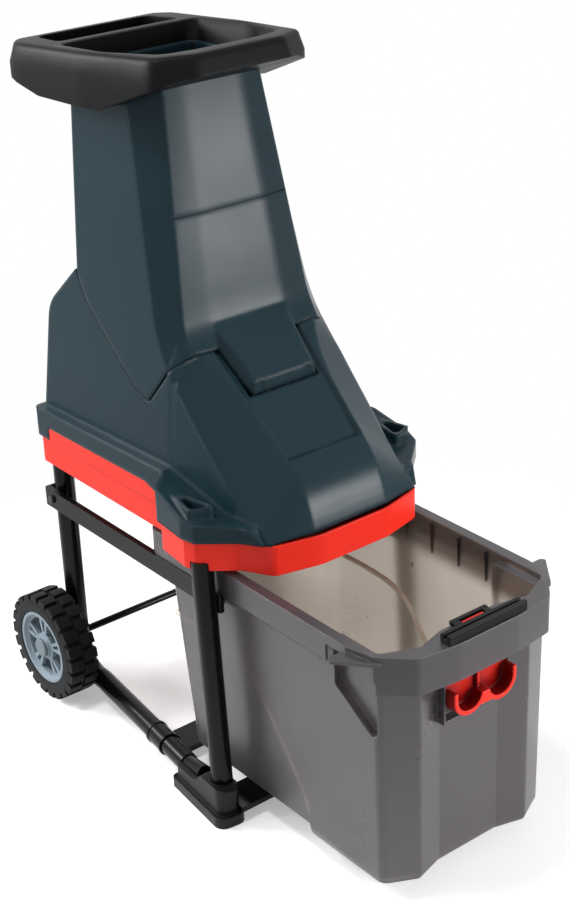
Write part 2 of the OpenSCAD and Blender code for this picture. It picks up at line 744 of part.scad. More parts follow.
// Recess in the hood around the cover: its surface line, depth, and half widths at two places
recess_depth = 5;
recess_wall = 4;
recess_end = -479;
function hood_z(y) = 660 + 0.826 * (y + 341);
function recess_half(y) = 76 + (y + 341) * 0.0725;
module hinge_ear() {
    width = ear_x[1] - ear_x[0];
    on_hinge(ear_x[0]) cylinder(h = width, r = ear_r);
    translate([ear_x[0] + width / 2, hinge_at[0], hinge_at[1]]) across(width / 2) polygon(ear_web);
}
module hinge_cover() {
    difference() {
        loft([
            for (s = hump_sections)
                let (foot = hood_z(s[0]) - recess_depth + seam_gap)
                at_length(s[0], rounded_outline(
                    [[s[1], foot], [s[3], s[2]], [-s[3], s[2]], [-s[1], foot]], [0, 4, 4, 0]))
        ]);
        for (side = [-1, 1]) on_side(side)
            translate([(ear_x[0] + ear_x[1]) / 2, hinge_at[0], hinge_at[1]])
                across((ear_x[1] - ear_x[0]) / 2 + pass) polygon(ear_slot);
        on_hinge(-pin_half - seat) cylinder(h = 2 * (pin_half + seat), r = pin_r + fit);
    }
}
module on_hinge(x) {
    translate([x, hinge_at[0], hinge_at[1]]) rotate([0, 90, 0]) children();
}

// Lock tongue behind the funnel: its screw leaves the housing's boss along the opening arc
lock_at = [-36, 752];
tongue_reach = 39;
lock_tilt = atan((lock_at[1] - hinge_at[1]) / (lock_at[0] - hinge_at[0]));
tongue_t = 8;
tongue_half = 18;
lock_screw_r = 4;
lock_boss_r = 15;
module at_lock() {
    translate([0, lock_at[0], lock_at[1]]) rotate([lock_tilt, 0, 0]) children();
}
module tongue() {
    at_lock() difference() {
        linear_extrude(tongue_t) polygon(rounded_outline(
            [[-tongue_half - 6, -tongue_reach], [tongue_half + 6, -tongue_reach], [tongue_half, tongue_half],
                [-tongue_half, tongue_half]],
            [0, 0, 14, 14]));
        translate([0, 0, -1]) cylinder(h = tongue_t + 2, r = lock_screw_r + fit);
    }
}
groove_z = 855;
groove = 2;
groove_half = 97;
module feed_funnel() color(slate) placed() union() {
    difference() {
        intersection() {
            union() {
                chute_form(586, funnel_top, 0);
                hood_form(0);
            }
            above_seam(seam_gap);
        }
        chute_form(580, funnel_top + 1, wall);
        difference() {
            hood_form(wall);
            chute_form(586, funnel_top, 0);
        }
        difference() {
            block([-groove_half, -320, groove_z], [groove_half, -270, groove_z + groove]);
            chute_form(groove_z - 10, groove_z + 10, groove);
        }
    }
    hinge_cover();
    tongue();
}

// Hopper rim: deep sides, a sloped feed mouth and a grip slot behind it
rim_slope = 30;
// Depth of the cuts through the rim, below its front edge
rim_skirt = 145;
rim_front = 304;
rim_rear = 55;
rim_half = [139, 125];
grip = [[-104, -29], [104, 22]];
module rim_side() {
    across(200) polygon(rounded_outline(
        [[-rim_front, rim_top], [-rim_front - 6, rim_top - 37], [-258, rim_top - 44], [-181, rim_top - 90],
            [-32, rim_top - 96], [20, rim_top - 84], [rim_rear + 6, rim_top - 68],
            [rim_rear - 6, rim_top - rim_slope]],
        [6, 8, 24, 30, 30, 30, 8, 10]));
}
module feed_mouth() {
    mouth = rounded_outline(
        mirrored([[52, -270], [94, -268], [114, -232], [114, -45]]), mirrored_list([crown_r, 12, 14, 16]));
    loft([
        at_height(funnel_top - 20, chute_outline(funnel_top, wall)),
        at_height(funnel_top + 2, chute_outline(funnel_top, wall)),
        at_height(rim_top + 4, mouth)
    ]);
}
module hopper_rim() color(charcoal) placed() difference() {
    intersection() {
        rim_side();
        translate([0, 0, rim_top - rim_skirt]) linear_extrude(2 * rim_skirt) polygon(rounded_outline(
            mirrored([[86, -rim_front - 7], [rim_half[1], -rim_front + 30], [rim_half[0], rim_rear + 6]]),
            mirrored_list([30, 26, 34])));
    }
    chute_form(rim_top - rim_skirt, funnel_top + seat, -seat);
    feed_mouth();
    translate([0, 0, rim_top - rim_skirt]) linear_extrude(2 * rim_skirt) polygon(rounded_outline(
        [[grip[0][0], grip[0][1]], [grip[1][0], grip[0][1]], [grip[1][0] - 6, grip[1][1]],
            [grip[0][0] + 6, grip[1][1]]],
        [14, 14, 20, 20]));
}

// Motor housing: saddle under the funnel, sloped hood in front, and a skirt with pods on the base
// Each section: y at the corner, height and half width of the panel, height and half width of the ridge,
// half width at the base, and how far the middle bows forward of the corners
hood_sections = [
    [-309, 703, 111, 649, 143, 158.9, 0], [-320, 684, 109, 638, 143, 158.7, 0],
    [-331, 669, 104, 627, 143, 158.3, 0], [-345, 657, 95, 615, 143, 157.6, 0],
    [-370, 636, 83, 588, 143, 155.5, 0], [-405, 607, 74, 553, 142, 152, 0],
    [-450, 570, 70, 506, 140, 148, 0], [-470, 553, 68, 488, 138, 145, 2],
    [-484, 539, 67, 478, 136.5, 142, 5], [-495, 524, 66, 471, 135, 140, 9],
    [-504, 505, 66, 466, 134, 138, 13], [-511, 482, 65, 460, 132, 136, 17], [-516, 457, 64, 455, 131, 134, 20]
];
hood_bow_half = 132;
ridge_r = 20;
function bowed(y, section, bow) =
    [for (p = section) [p[0], y - bow * max(0, 1 - pow(p[0] / hood_bow_half, 2)), p[1]]];
module hood_form(d) {
    low = d > 0 ? base_top - 1 : base_top;
    loft([
        for (i = [0:len(hood_sections) - (d > 0 ? 2 : 1)])
            let (s = hood_sections[i])
            let (y = s[0] + (i == 0 ? -d : 0.9 * d))
            let (ridge = [s[4] - d, s[3] - 1.3 * d])
            let (panel = [s[2] - 0.5 * d, s[1] - 1.3 * d])
            let (round = min(ridge_r, (s[3] - base_top) / 3))
            bowed(y, rounded_outline(
                [[s[5] - d, low], ridge, panel, [-panel[0], panel[1]], [-ridge[0], ridge[1]],
                    [-s[5] + d, low]],
                [0, round, 6, 6, round, 0]), s[6])
    ]);
}
// Sunken panel of the hood, with sloping walls, and the pocket in which the cover's foot turns
hinge_pocket_r = 16.5;
hinge_pocket_half = 62.5;
module hood_recess() {
    over = 10;
    loft([
        for (end = [[-300, 1], [recess_end + recess_wall + 2, 1], [recess_end, 0.1]])
            let (y = end[0])
            let (depth = recess_depth * end[1])
            let (floor_half = recess_half(y) - recess_wall * end[1])
            let (rim_half = recess_half(y) + recess_wall * over / recess_depth)
            at_length(y, [[floor_half, hood_z(y) - depth], [rim_half, hood_z(y) + over],
                [-rim_half, hood_z(y) + over], [-floor_half, hood_z(y) - depth]])
    ]);
}
bulge_rear = 16;
bulge_top = [0, 669];
module saddle_form(d) {
    top = [for (p = seam_points) p - [0, 1.4 * d]];
    low = d > 0 ? base_top - 1 : base_top;
    front = -312 - 3 * d;
    intersection() {
        across(300) polygon(rounded_outline(
            concat([[bulge_rear + 3 - d, low], [bulge_rear - d, 505], bulge_top - [d, 0.6 * d]], top,
                [[front, top[4][1]], [front, low]]),
            concat([0, 0, 60], seam_radii, [0, 0])));
        lengthwise(-400, 100)
            polygon([[body_half(base_top) - d, base_top - 2], [body_half(760) - d, 760],
                [-body_half(760) + d, 760], [-body_half(base_top) + d, base_top - 2]]);
    }
}
pod_drop = 30;
module skirt_form(d) {
    intersection() {
        base_prism(d > 0 ? base_top - 1 : base_top, 560, d - skirt_out);
        across(300) polygon([[40, base_top - 2], [40, ledge_z - d], [-320, ledge_z + 12 - d],
            [-pod_y[2], ledge_z + 12 - pod_drop - d], [-492, 474 - d], [-510, base_top - d]]);
    }
}
throat = [[-45, -280], [45, -236]];
throat_top = 660;
module throat_duct(grow) {
    // Slanted upper part that gathers the chute, then a straight drop to the blade disc
    across(throat[1][0] + grow) polygon([
        [throat[0][1] - grow, plate_z + plate_h + seat], [throat[1][1] + grow, plate_z + plate_h + seat],
        [throat[1][1] + grow, 560], [-150, throat_top + 40], [throat[0][1] - grow, throat_top + 40]
    ]);
}
pocket_points = [[169, -436], [197, -424], [186, -368]];
unit_low = [-64, -22, 560];
unit_high = [40, 12, 612];
inlet_low = [54, -22, 562];
inlet_high = [92, 12, 610];
module motor_housing() color(slate) placed() difference() {
    union() {
        difference() {
            union() {
                saddle_form(0);
                hood_form(0);
                skirt_form(0);
            }
            saddle_form(wall);
            hood_form(wall);
            skirt_form(wall);
            hood_recess();
            intersection() {
                above_seam(0);
                block([-300, -360, 640], [300, hood_sections[0][0] + 1, 800]);
            }
            on_hinge(-hinge_pocket_half) cylinder(h = 2 * hinge_pocket_half, r = hinge_pocket_r);
            difference() {
                side_panels(seat);
                block([-base_half + wall + 1, -400, 400], [base_half - wall - 1, 100, 600]);
            }
        }
        intersection() {
            throat_duct(wall);
            saddle_form(0);
        }
        for (side = [-1, 1]) on_side(side) {
            hinge_ear();
            translate([0, 0, pod_floor - wall]) linear_extrude(ledge_z - pod_floor + 4)
                polygon(rounded_outline(
                    [[166, -440], [pod_half - 3, -426], [188, -358], [176, -358]], [4, 4, 4, 4]));
        }
        intersection() {
            at_lock() translate([0, 0, -140]) cylinder(h = 140 - seam_gap, r = lock_boss_r);
            block([-30, -200, 625], [30, bulge_rear - wall, 800]);
        }
    }
    throat_duct(0);
    on_hinge(-pin_half) cylinder(h = 2 * pin_half, r = pin_r + fit);
    at_lock() translate([0, 0, -16]) cylinder(h = 20, r = lock_screw_r + pass);
    for (side = [-1, 1]) on_side(side) {
        translate([0, 0, pod_floor]) linear_extrude(60) polygon(rounded_outline(pocket_points, [6, 6, 6]));
        translate([pod_screw_at[0], pod_screw_at[1], 400]) cylinder(h = 100, r = 2.5 + fit);
    }
    block(unit_low - [seat, 0, seat], unit_high + [seat, 20, seat]);
    block(inlet_low - [seat, 0, seat], inlet_high + [seat, 20, seat]);
}

pin_half = 54;
module hinge_pin() color(steel) placed()
    on_hinge(-pin_half) cylinder(h = 2 * pin_half, r = pin_r);

// Lock knob with flutes and its captive screw
knob_h = 20;
module lock_knob() color(charcoal) placed() at_lock() {
    difference() {
        translate([0, 0, tongue_t + seat]) rotate_extrude() polygon(rounded_outline(
            [[0, 0], [knob_d / 2 - 3, 0], [knob_d / 2, 5], [knob_d / 2, knob_h], [0, knob_h]],
            [0, 2, 2, 4, 0]));
        for (a = [0:45:315])
            rotate([0, 0, a]) translate([knob_d / 2 + 3, 0, tongue_t])
                cylinder(h = knob_h + 2, r = 5.5, $fn = 24);
    }
    translate([0, 0, -6]) cylinder(h = tongue_t + 12, r = lock_screw_r);
}
module safety_switch() color(charcoal) placed() {
    block([lock_boss_r + seat, -30, 630], [lock_boss_r + 22, -6, 652]);
    translate([lock_boss_r + 11, -18, 652]) cylinder(h = 4, r = 3);
}

// Rear controls
button_r = button_d / 2;
button_out = button_travel + 2;
button_at = [[-44, 586], [-14, 586], [22, 586]];
reset_r = 6;
module at_button(i) {
    translate([button_at[i][0], 0, button_at[i][1]]) rotate([-90, 0, 0]) children();
}
module switch_unit() color(charcoal) placed() difference() {
    block(unit_low, unit_high);
    for (i = [0:2])
        at_button(i) translate([0, 0, -10]) cylinder(h = 40, r = (i == 2 ? reset_r : button_r) + fit);
}
module push_button(i, r) {
    at_button(i) translate([0, 0, -4]) cylinder(h = unit_high[1] + button_out + 4, r = r);
}
module on_button() color("#2f9e44") placed() push_button(0, button_r);
module off_button() color(red) placed() push_button(1, button_r);
module reset_button() color(charcoal) placed() push_button(2, reset_r);
module mains_inlet() color(charcoal) placed() {
    difference() {
        block(inlet_low, inlet_high);
        block(inlet_low + [6, 8, 10], inlet_high + [-6, 1, -10]);
    }
    for (x = [-7, 0, 7])
        translate([(inlet_low[0] + inlet_high[0]) / 2 + x - 1, inlet_low[1] + 5, 580 + (x == 0 ? 8 : 0)])
            cube([2, 18, 4]);
}

// Cutting unit on the vertical motor axis
module on_motor_axis(z) {
    placed() translate([0, -motor_y, z]) children();
}
shaft_r = shaft_d / 2;
bearing_r = shaft_r + 8;
bearing_h = 8;
disc_low = 436;
disc_top = disc_low + disc_t;
knife_t = 5;
motor_low = plate_z + plate_h;
motor_top = motor_low + motor_h;
fan_h = 12;
shaft_top = motor_top + 20;
module motor_plate() color("#b9bdc1") placed() difference() {
    translate([0, 0, plate_z]) linear_extrude(plate_h) polygon(rounded_outline(
        mirrored([[124, -458], [150, -400], [150, -206]]), mirrored_list([12, 30, 20])));
    block([throat[0][0], throat[0][1], 0], [throat[1][0], throat[1][1], 600]);
    translate([0, -motor_y, plate_z - 1]) cylinder(h = plate_h + 2, r = bearing_r + fit);
    for (side = [-1, 1]) on_side(side) {
        for (at = pillar_at) translate([at[0], at[1], plate_z - 1]) cylinder(h = 20, r = screw_r + fit);
        translate([counter_screw[0], counter_screw[1], plate_z - 1]) cylinder(h = 20, r = 2.5 + fit);
    }
}
module motor() color("#5a5e63") on_motor_axis(motor_low) difference() {
    union() {
        cylinder(h = motor_h, r = motor_d / 2);
        cylinder(h = 6, r = motor_d / 2 + 3);
    }
    translate([0, 0, -1]) cylinder(h = motor_h + 2, r = shaft_r + pass);
    translate([0, 0, motor_h - bearing_h]) cylinder(h = bearing_h + 1, r = bearing_r + fit);
    for (i = [0:11])
        rotate([0, 0, i * 30]) translate([motor_d / 2 + 1, 0, 16])
            cylinder(h = motor_h - 32, r = 5, $fn = 24);
}
module motor_shaft() color(steel) on_motor_axis(disc_low) cylinder(h = shaft_top - disc_low, r = shaft_r);
module lower_bearing() color(steel) on_motor_axis(plate_z) ring(bearing_r, shaft_r + fit, bearing_h);
module upper_bearing() color(steel) on_motor_axis(motor_top - bearing_h)
    ring(bearing_r, shaft_r + fit, bearing_h);
module cooling_fan() color(charcoal) on_motor_axis(motor_top + 3) {
    ring(shaft_r + 6, shaft_r + fit, fan_h);
    for (i = [0:8]) rotate([0, 0, i * 40]) block([shaft_r + 4, -1.2, 1], [motor_d / 2 - 8, 1.2, fan_h]);
    ring(motor_d / 2 - 6, shaft_r + 5, 2);
}
module blade_disc() color("#a4a8ac") on_motor_axis(disc_low) difference() {
    cylinder(h = disc_t, r = disc_d / 2);
    translate([0, 0, -1]) cylinder(h = disc_t + 2, r = shaft_r + fit);
    for (a = [0, 180]) rotate([0, 0, a]) {
        block([36, 16, -1], [disc_d / 2 - 10, 26, disc_t + 1]);
        for (x = knife_screw_x) translate([x, 0, -1]) cylinder(h = 20, r = 2.5 + fit);
    }
}
knife_screw_x = [52, 88];
module knives() color("#c3c7cb") on_motor_axis(disc_top)
    for (a = [0, 180]) rotate([0, 0, a]) difference() {
        knife_bar();
        for (x = knife_screw_x) translate([x, 0, -1]) {
            cylinder(h = 10, r = 2.5 + fit);
            translate([0, 0, knife_t - 2]) cylinder(h = 10, r = 4.5 + fit);
        }
    }
module knife_bar() {
    rotate([90, 0, 90]) translate([0, 0, 38]) linear_extrude(64)
        polygon([[-14, 0], [12, 0], [18, knife_t], [-14, knife_t]]);
}
module knife_screws() color(steel) on_motor_axis(disc_top)
    for (a = [0, 180]) rotate([0, 0, a]) for (x = knife_screw_x) translate([x, 0, 0]) {
        translate([0, 0, 1 - disc_t]) cylinder(h = disc_t + knife_t - 3, r = 2.5);
        translate([0, 0, knife_t - 2]) cylinder(h = 2, r = 4.5);
    }
module disc_bolt() color(steel) on_motor_axis(disc_low - 8) {
    cylinder(h = 5, r = 10, $fn = 6);
    translate([0, 0, 5]) cylinder(h = 3, r = 16);
}
counter_screw = [30, -290];
module counter_knife() color("#c3c7cb") placed() difference() {
    block([throat[0][0], -298, plate_z - 11], [throat[1][0], throat[0][1], plate_z]);
    for (side = [-1, 1]) on_side(side)
        translate([counter_screw[0], counter_screw[1], plate_z - 8]) cylinder(h = 20, r = 2.5 + fit);
}

// A screw with a flat round head: its head stands on z = 0 and the shank runs down
module screw(shank, head, head_h, length) {
    cylinder(h = head_h, r = head);
    translate([0, 0, -length]) cylinder(h = length + 0.1, r = shank);
}
module counter_knife_screws() color(steel) placed()
    for (side = [-1, 1]) on_side(side)
        translate([counter_screw[0], counter_screw[1], motor_low]) screw(2.5, 4.5, 3, plate_h + 6);
module motor_plate_screws() color(steel) placed()
    for (side = [-1, 1]) on_side(side) for (at = pillar_at)
        translate([at[0], at[1], motor_low]) screw(screw_r, 6, 4, 30);
module pod_screws() color(steel) placed()
    for (side = [-1, 1]) on_side(side)
        translate([pod_screw_at[0], pod_screw_at[1], pod_floor]) screw(2.5, 5, 3, 22);
module leg_screws() color(steel) placed()
    for (side = [-1, 1]) on_side(side) for (at = leg_screw_at)
        translate([at[0], at[1], floor_top]) screw(screw_r, 5, 4, wall + 10);
bolt_z = rail_top - rail_h / 2;
module rail_bolts() color(steel) placed()
    for (side = [-1, 1]) on_side(side) {
        translate([rail_in + rail_t, 0, bolt_z]) rotate([0, 90, 0]) screw(screw_r, 7, 4, rail_t + 8);
        translate([rail_in, front_bolt_y, bolt_z]) rotate([0, -90, 0]) screw(screw_r, 6, 3, rail_t + 8);
    }
front_bolt_y = leg_low[1] + (leg_top[1] - leg_low[1]) * (bolt_z - leg_foot_z) / (floor_z - leg_foot_z);
module foot_screws() color(steel) placed()
    for (side = [-1, 1]) on_side(side)
        translate([leg_low[0], leg_low[1], 5]) mirror([0, 0, 1]) screw(screw_r, 6, 3, 14);

hopper_rim();
feed_funnel();
motor_housing();
base_tray();
rear_tube_left();
rear_tube_right();
front_leg_left();
front_leg_right();
joint_collars();
slide_rail_left();
slide_rail_right();
front_plate();
rear_plate();
foot_left();
foot_right();
axle();
axle_washers();
wheel_tyre_left();
wheel_tyre_right();
wheel_hub_left();
wheel_hub_right();
hub_cap_left();
hub_cap_right();
collecting_box();
latch_guide();
locking_slider();
motor();
motor_shaft();
lower_bearing();
upper_bearing();
cooling_fan();
motor_plate();
blade_disc();
knives();
disc_bolt();
counter_knife();
knife_screws();
counter_knife_screws();
motor_plate_screws();
pod_screws();
leg_screws();
rail_bolts();
foot_screws();
hinge_pin();
lock_knob();
safety_switch();
switch_unit();
on_button();
off_button();
reset_button();
mains_inlet();
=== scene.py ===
"""Looks for the garden shredder: finishes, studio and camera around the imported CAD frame."""

import functools
import math

import bmesh
import bpy
from mathutils import Matrix, Vector, geometry


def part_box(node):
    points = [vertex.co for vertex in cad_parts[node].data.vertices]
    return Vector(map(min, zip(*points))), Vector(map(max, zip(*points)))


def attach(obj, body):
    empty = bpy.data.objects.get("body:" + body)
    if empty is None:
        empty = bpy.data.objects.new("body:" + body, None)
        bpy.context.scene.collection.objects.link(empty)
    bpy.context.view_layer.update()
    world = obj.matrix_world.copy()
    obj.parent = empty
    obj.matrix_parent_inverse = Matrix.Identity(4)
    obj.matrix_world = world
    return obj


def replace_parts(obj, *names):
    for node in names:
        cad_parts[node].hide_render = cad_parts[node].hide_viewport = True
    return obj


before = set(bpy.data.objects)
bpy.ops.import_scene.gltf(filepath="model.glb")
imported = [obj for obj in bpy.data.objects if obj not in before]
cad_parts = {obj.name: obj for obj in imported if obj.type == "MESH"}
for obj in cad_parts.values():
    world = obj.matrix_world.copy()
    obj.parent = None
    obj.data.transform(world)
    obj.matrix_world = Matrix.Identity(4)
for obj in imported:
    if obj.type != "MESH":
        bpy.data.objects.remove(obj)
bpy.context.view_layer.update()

bl_info = {
    "name": "Garden Shredder Looks",
    "version": (1, 0, 0),
    "blender": (4, 5, 0),
    "location": "View3D > Sidebar > Shredder",
    "description": "Finishes and studio for a wheeled garden shredder",
    "category": "Object",
}

# Axes that prisms are drawn along
X, Y, Z = range(3)
# How far the box's side walls stand in from its widest point, the ears
SIDE_INSET = 0.043
# Height of the cups in the solid slider, whose upper edge the finished ones keep
GRIP_CAD_H = 0.062

# Sockets of a colour mix node, whose names repeat
MIX_FACTOR, MIX_FIRST, MIX_SECOND, MIX_RESULT = 0, 6, 7, 2

# Soft edges: rays for each point, and how fast the edge mask grows with the turn of the normal
EDGE_SAMPLES = 6
EDGE_GAIN = 6.0
# Painted shade in hollows: rays for each point, and how fast the mask grows with what the walls hide
PAINTED_SHADE_SAMPLES = 16
PAINTED_SHADE_GAIN = 2.4
# Lighter edges from the base colour: partly wear, partly painted highlight
EDGE_WEAR_AND_HIGHLIGHT_GAIN = 1.6
EDGE_WEAR_AND_HIGHLIGHT_LIFT = 0.02
# Dust in linear light, and what full dust adds to the roughness
DUST_COLOUR = (0.42, 0.40, 0.37)
DUST_ROUGHNESS = 0.5
# How far the roughness swings between patches, and the depth of the grain
ROUGH_SWING = 0.16
GRAIN_DEPTH = 0.0006

# Points this close count as one when a piece is shaded
JOIN_DISTANCE = 0.00002
# How much the larger faces rule the shading of a corner, of 100
FACE_WEIGHT = 80
# Rounded edges of the pieces made here: steps, and the least angle of an edge that is rounded
ROUND_STEPS = 3
ROUND_ANGLE = math.radians(35)

# Outlines of the hopper rim from above: x, y and corner radius of the right half, from front to rear
RIM_OUTER = (
    (0.074, 0.032, 0.014), (0.126, 0.061, 0.022), (0.142, 0.208, 0.200), (0.144, 0.386, 0.024),
    (0.124, 0.420, 0.020),
)
RIM_MOUTH = (
    (0.052, 0.071, 0.100), (0.097, 0.081, 0.020), (0.121, 0.180, 0.080), (0.116, 0.301, 0.014),
)
RIM_SEAT = (
    (0.057, 0.102, 0.100), (0.081, 0.1075, 0.004), (0.1095, 0.1545, 0.010), (0.1095, 0.284, 0.006),
    (0.097, 0.296, 0.006),
)
# Middle that the rim's rings turn about, and points in a ring
RIM_MIDDLE = (0.0, 0.19)
RIM_COUNT = 180
# The rim's lower edge from the side: y and z from front to rear
RIM_UNDER = (
    (0.013, 1.058), (0.040, 1.052), (0.053, 1.043), (0.172, 0.997), (0.318, 0.993), (0.373, 1.003),
    (0.432, 1.020),
)
# Where the rim's top starts to fall towards the rear, and its slope
RIM_FALL_START = 0.026
RIM_FALL = 0.0762
# Upper ends of the seat on the chute, inside and out
RIM_SEAT_TOP = 1.031
RIM_COLLAR_TOP = 1.026
# Grip slot behind the mouth, from above
SLOT_CORNERS = ((-0.106, 0.321), (0.106, 0.321), (0.098, 0.398), (-0.098, 0.398))
SLOT_RADII = (0.014, 0.014, 0.020, 0.020)

# The shoulder line on a side of the box: y and z from the rear to the front
SHOULDER_LINE = (
    (0.058, 0.262), (-0.062, 0.265), (-0.108, 0.256), (-0.142, 0.224), (-0.187, 0.160), (-0.232, 0.104),
    (-0.246, 0.062),
)

SENSOR_WIDTH = 36
# How much the floor glows where it is seen, to meet the white around it
FLOOR_GLOW = 0.35
# Lamps: name, place, aim, size, power in watts and tint
LAMPS = (
    ("front_lamp", (1.20, -2.15, 0.88), (0, 0, 0.75), (1.1, 0.6), 54, (1.0, 0.98, 0.97)),
    ("side_lamp", (-1.6, 2.1, 1.9), (0, 0, 0.55), (1.1, 1.1), 80, (0.96, 0.98, 1.0)),
    ("top_lamp", (-0.85, 0.05, 2.9), (0, 0, 0.55), (0.5, 0.5), 26, (1.0, 1.0, 1.0)),
    ("edge_lamp", (-2.2, 0.9, 1.05), (0, 0, 0.55), (0.16, 1.9), 13, (1.0, 1.0, 1.0)),
)

SLATE_NODES = ("feed_funnel", "motor_housing")
RIM_NODES = ("hopper_rim",)
RED_NODES = ("base_tray", "locking_slider")
TUBE_NODES = (
    "rear_tube_left", "rear_tube_right", "front_leg_left", "front_leg_right", "joint_collars",
    "slide_rail_left", "slide_rail_right", "front_plate", "rear_plate", "axle",
)
FOOT_NODES = ("foot_left", "foot_right")
TYRE_NODES = ("wheel_tyre_left", "wheel_tyre_right")
HUB_NODES = ("wheel_hub_left", "wheel_hub_right")
CAP_NODES = ("hub_cap_left", "hub_cap_right")
BOX_NODES = ("collecting_box",)
BLACK_NODES = (
    "latch_guide", "lock_knob", "safety_switch", "switch_unit", "mains_inlet", "reset_button",
    "cooling_fan",
)
STEEL_NODES = (
    "axle_washers", "motor_shaft", "lower_bearing", "upper_bearing", "disc_bolt", "knife_screws",
    "counter_knife_screws", "motor_plate_screws", "leg_screws", "foot_screws", "hinge_pin",
)
DARK_SCREW_NODES = ("pod_screws", "rail_bolts")
BLADE_NODES = ("blade_disc", "knives", "counter_knife")
CAST_NODES = ("motor_plate", "motor")


def colour(name, description, value):
    """A colour that the user can change in the sidebar."""
    return bpy.props.FloatVectorProperty(
        name=name, description=description, default=value, subtype="COLOR", size=3, min=0, max=1)


def length(name, description, value):
    """A length in metres that the user can change in the sidebar."""
    return bpy.props.FloatProperty(
        name=name, description=description, default=value, subtype="DISTANCE", unit="LENGTH", min=0)


class ShredderFinish(bpy.types.PropertyGroup):
    """Colours of the pieces and of painted light and shade, in linear light, and the softness of moulded
    edges.
    """

    slate: colour("Slate", "Body moulding", (0.0115, 0.029, 0.039))
    charcoal: colour("Charcoal", "Hopper rim, feet and fittings", (0.0035, 0.0035, 0.0042))
    red: colour("Red", "Base tray and slider", (0.86, 0.030, 0.016))
    # Painted shade: a dark red painted into the depths of the slider's cups, where their walls shut out
    # the light
    red_hollow: colour("Red painted shade", "Depths of the slider's cups", (0.17, 0.002, 0.002))
    paint: colour("Paint", "Frame tubes", (0.0022, 0.0022, 0.0026))
    rubber: colour("Rubber", "Tyres", (0.007, 0.0078, 0.0088))
    hub: colour("Hub", "Wheel hubs", (0.20, 0.26, 0.30))
    box: colour("Box", "Tinted collecting box", (0.128, 0.120, 0.134))
    # Inner faces of the box: painted light, pale for light through the walls, fading into the darker
    # band colour under the rim
    band: colour("Band", "Inner faces under the rim of the box", (0.16, 0.115, 0.095))
    lining: colour("Painted inner light", "Inner faces of the box, lit through its walls", (0.80, 0.73, 0.64))
    steel: colour("Steel", "Shaft, washers and screws", (0.56, 0.57, 0.58))
    blade: colour("Blade", "Ground blade steel", (0.50, 0.51, 0.52))
    cast: colour("Cast", "Cast motor parts", (0.22, 0.23, 0.24))
    on_colour: colour("On", "On button", (0.03, 0.35, 0.08))
    moulded_edge: length("Moulded edge", "Rounding of plastic edges", 0.0022)
    metal_edge: length("Metal edge", "Rounding of metal edges", 0.0009)
    smooth_angle: bpy.props.FloatProperty(
        name="Smooth angle", description="Faces that meet at less than this shade as one surface",
        default=math.radians(32), subtype="ANGLE", unit="ROTATION", min=0)


class ShredderGrip(bpy.types.PropertyGroup):
    """Sizes of the locking slider's finger cups and of the bar above it."""

    lobe_r: length("Lobe", "Outer radius of each finger cup", 0.0285)
    cup_r: length("Cup", "Inner radius of each finger cup", 0.0215)
    grip_h: length("Grip height", "Height of the finger cups", 0.054)
    cup_depth: length("Cup depth", "How far the cups stand out from the plate", 0.0205)
    cup_drop: length("Cup drop", "How far the cups' walls stay below the plate's upper edge", 0.013)
    plate_t: length("Plate", "Thickness of the plate behind the cups", 0.0035)
    bar_groove: length("Groove", "Depth of the groove along the bar", 0.005)
    frame_h: length("Bolt frame", "Height of the frame around the bolt", 0.006)


class ShredderRim(bpy.types.PropertyGroup):
    """Sizes of the hopper rim's skirt and lips."""

    flare: length("Flare", "How far the skirt leans out below the lip", 0.006)
    lip: length("Lip", "Rounding of the outer upper edge", 0.010)
    mouth_lip: length("Mouth lip", "Rounding of the mouth's edge", 0.005)
    face: length("Face", "Height of the leaning face below the lip", 0.028)


class ShredderStage(bpy.types.PropertyGroup):
    """Camera, floor and lamps."""

    camera_place: bpy.props.FloatVectorProperty(
        name="Camera place", description="Where the camera stands", default=(-1.411, -1.852, 1.608),
        subtype="TRANSLATION", unit="LENGTH", size=3)
    azimuth: bpy.props.FloatProperty(
        name="Azimuth", description="Camera's turn about the vertical", default=math.radians(-37.70),
        subtype="ANGLE", unit="ROTATION")
    elevation: bpy.props.FloatProperty(
        name="Elevation", description="Camera's height angle", default=math.radians(25.45),
        subtype="ANGLE", unit="ROTATION")
    roll: bpy.props.FloatProperty(
        name="Roll", description="Camera's roll", default=math.radians(-2.25),
        subtype="ANGLE", unit="ROTATION")
    lens: bpy.props.FloatProperty(
        name="Lens", description="Focal length on a 36 mm sensor", default=71.02, unit="CAMERA", min=1)
    floor_radius: length("Floor radius", "Where the floor has faded away", 1.05)
    floor_solid: length("Floor middle", "Up to where the floor is solid", 0.35)
    ambient: bpy.props.FloatProperty(
        name="Ambient", description="Strength of the world's light", default=0.30, min=0, max=2)


def register():
    for item in CLASSES:
        bpy.utils.register_class(item)
    bpy.types.Scene.shredder_finish = bpy.props.PointerProperty(type=ShredderFinish)
    bpy.types.Scene.shredder_grip = bpy.props.PointerProperty(type=ShredderGrip)
    bpy.types.Scene.shredder_rim = bpy.props.PointerProperty(type=ShredderRim)
    bpy.types.Scene.shredder_stage = bpy.props.PointerProperty(type=ShredderStage)


def unregister():
    del bpy.types.Scene.shredder_stage
    del bpy.types.Scene.shredder_rim
    del bpy.types.Scene.shredder_grip
    del bpy.types.Scene.shredder_finish
    for item in reversed(CLASSES):
        bpy.utils.unregister_class(item)


def add_node(tree, kind, **inputs):
    """Adds a node and sets the inputs that are named; underscores in a name stand for spaces."""
    made = tree.nodes.new(kind)
    for name, value in inputs.items():
        made.inputs[name.replace("_", " ")].default_value = value
    return made


def math_node(tree, operation, first, second=None, third=None, clamp=False):
    """A maths node fed by sockets or numbers; gives back its output."""
    made = tree.nodes.new("ShaderNodeMath")
    made.operation = operation
    made.use_clamp = clamp
    for socket, value in zip(made.inputs, (first, second, third)):
        if value is None:
            continue
        if isinstance(value, bpy.types.NodeSocket):
            tree.links.new(value, socket)
        else:
            socket.default_value = value
    return made.outputs[0]


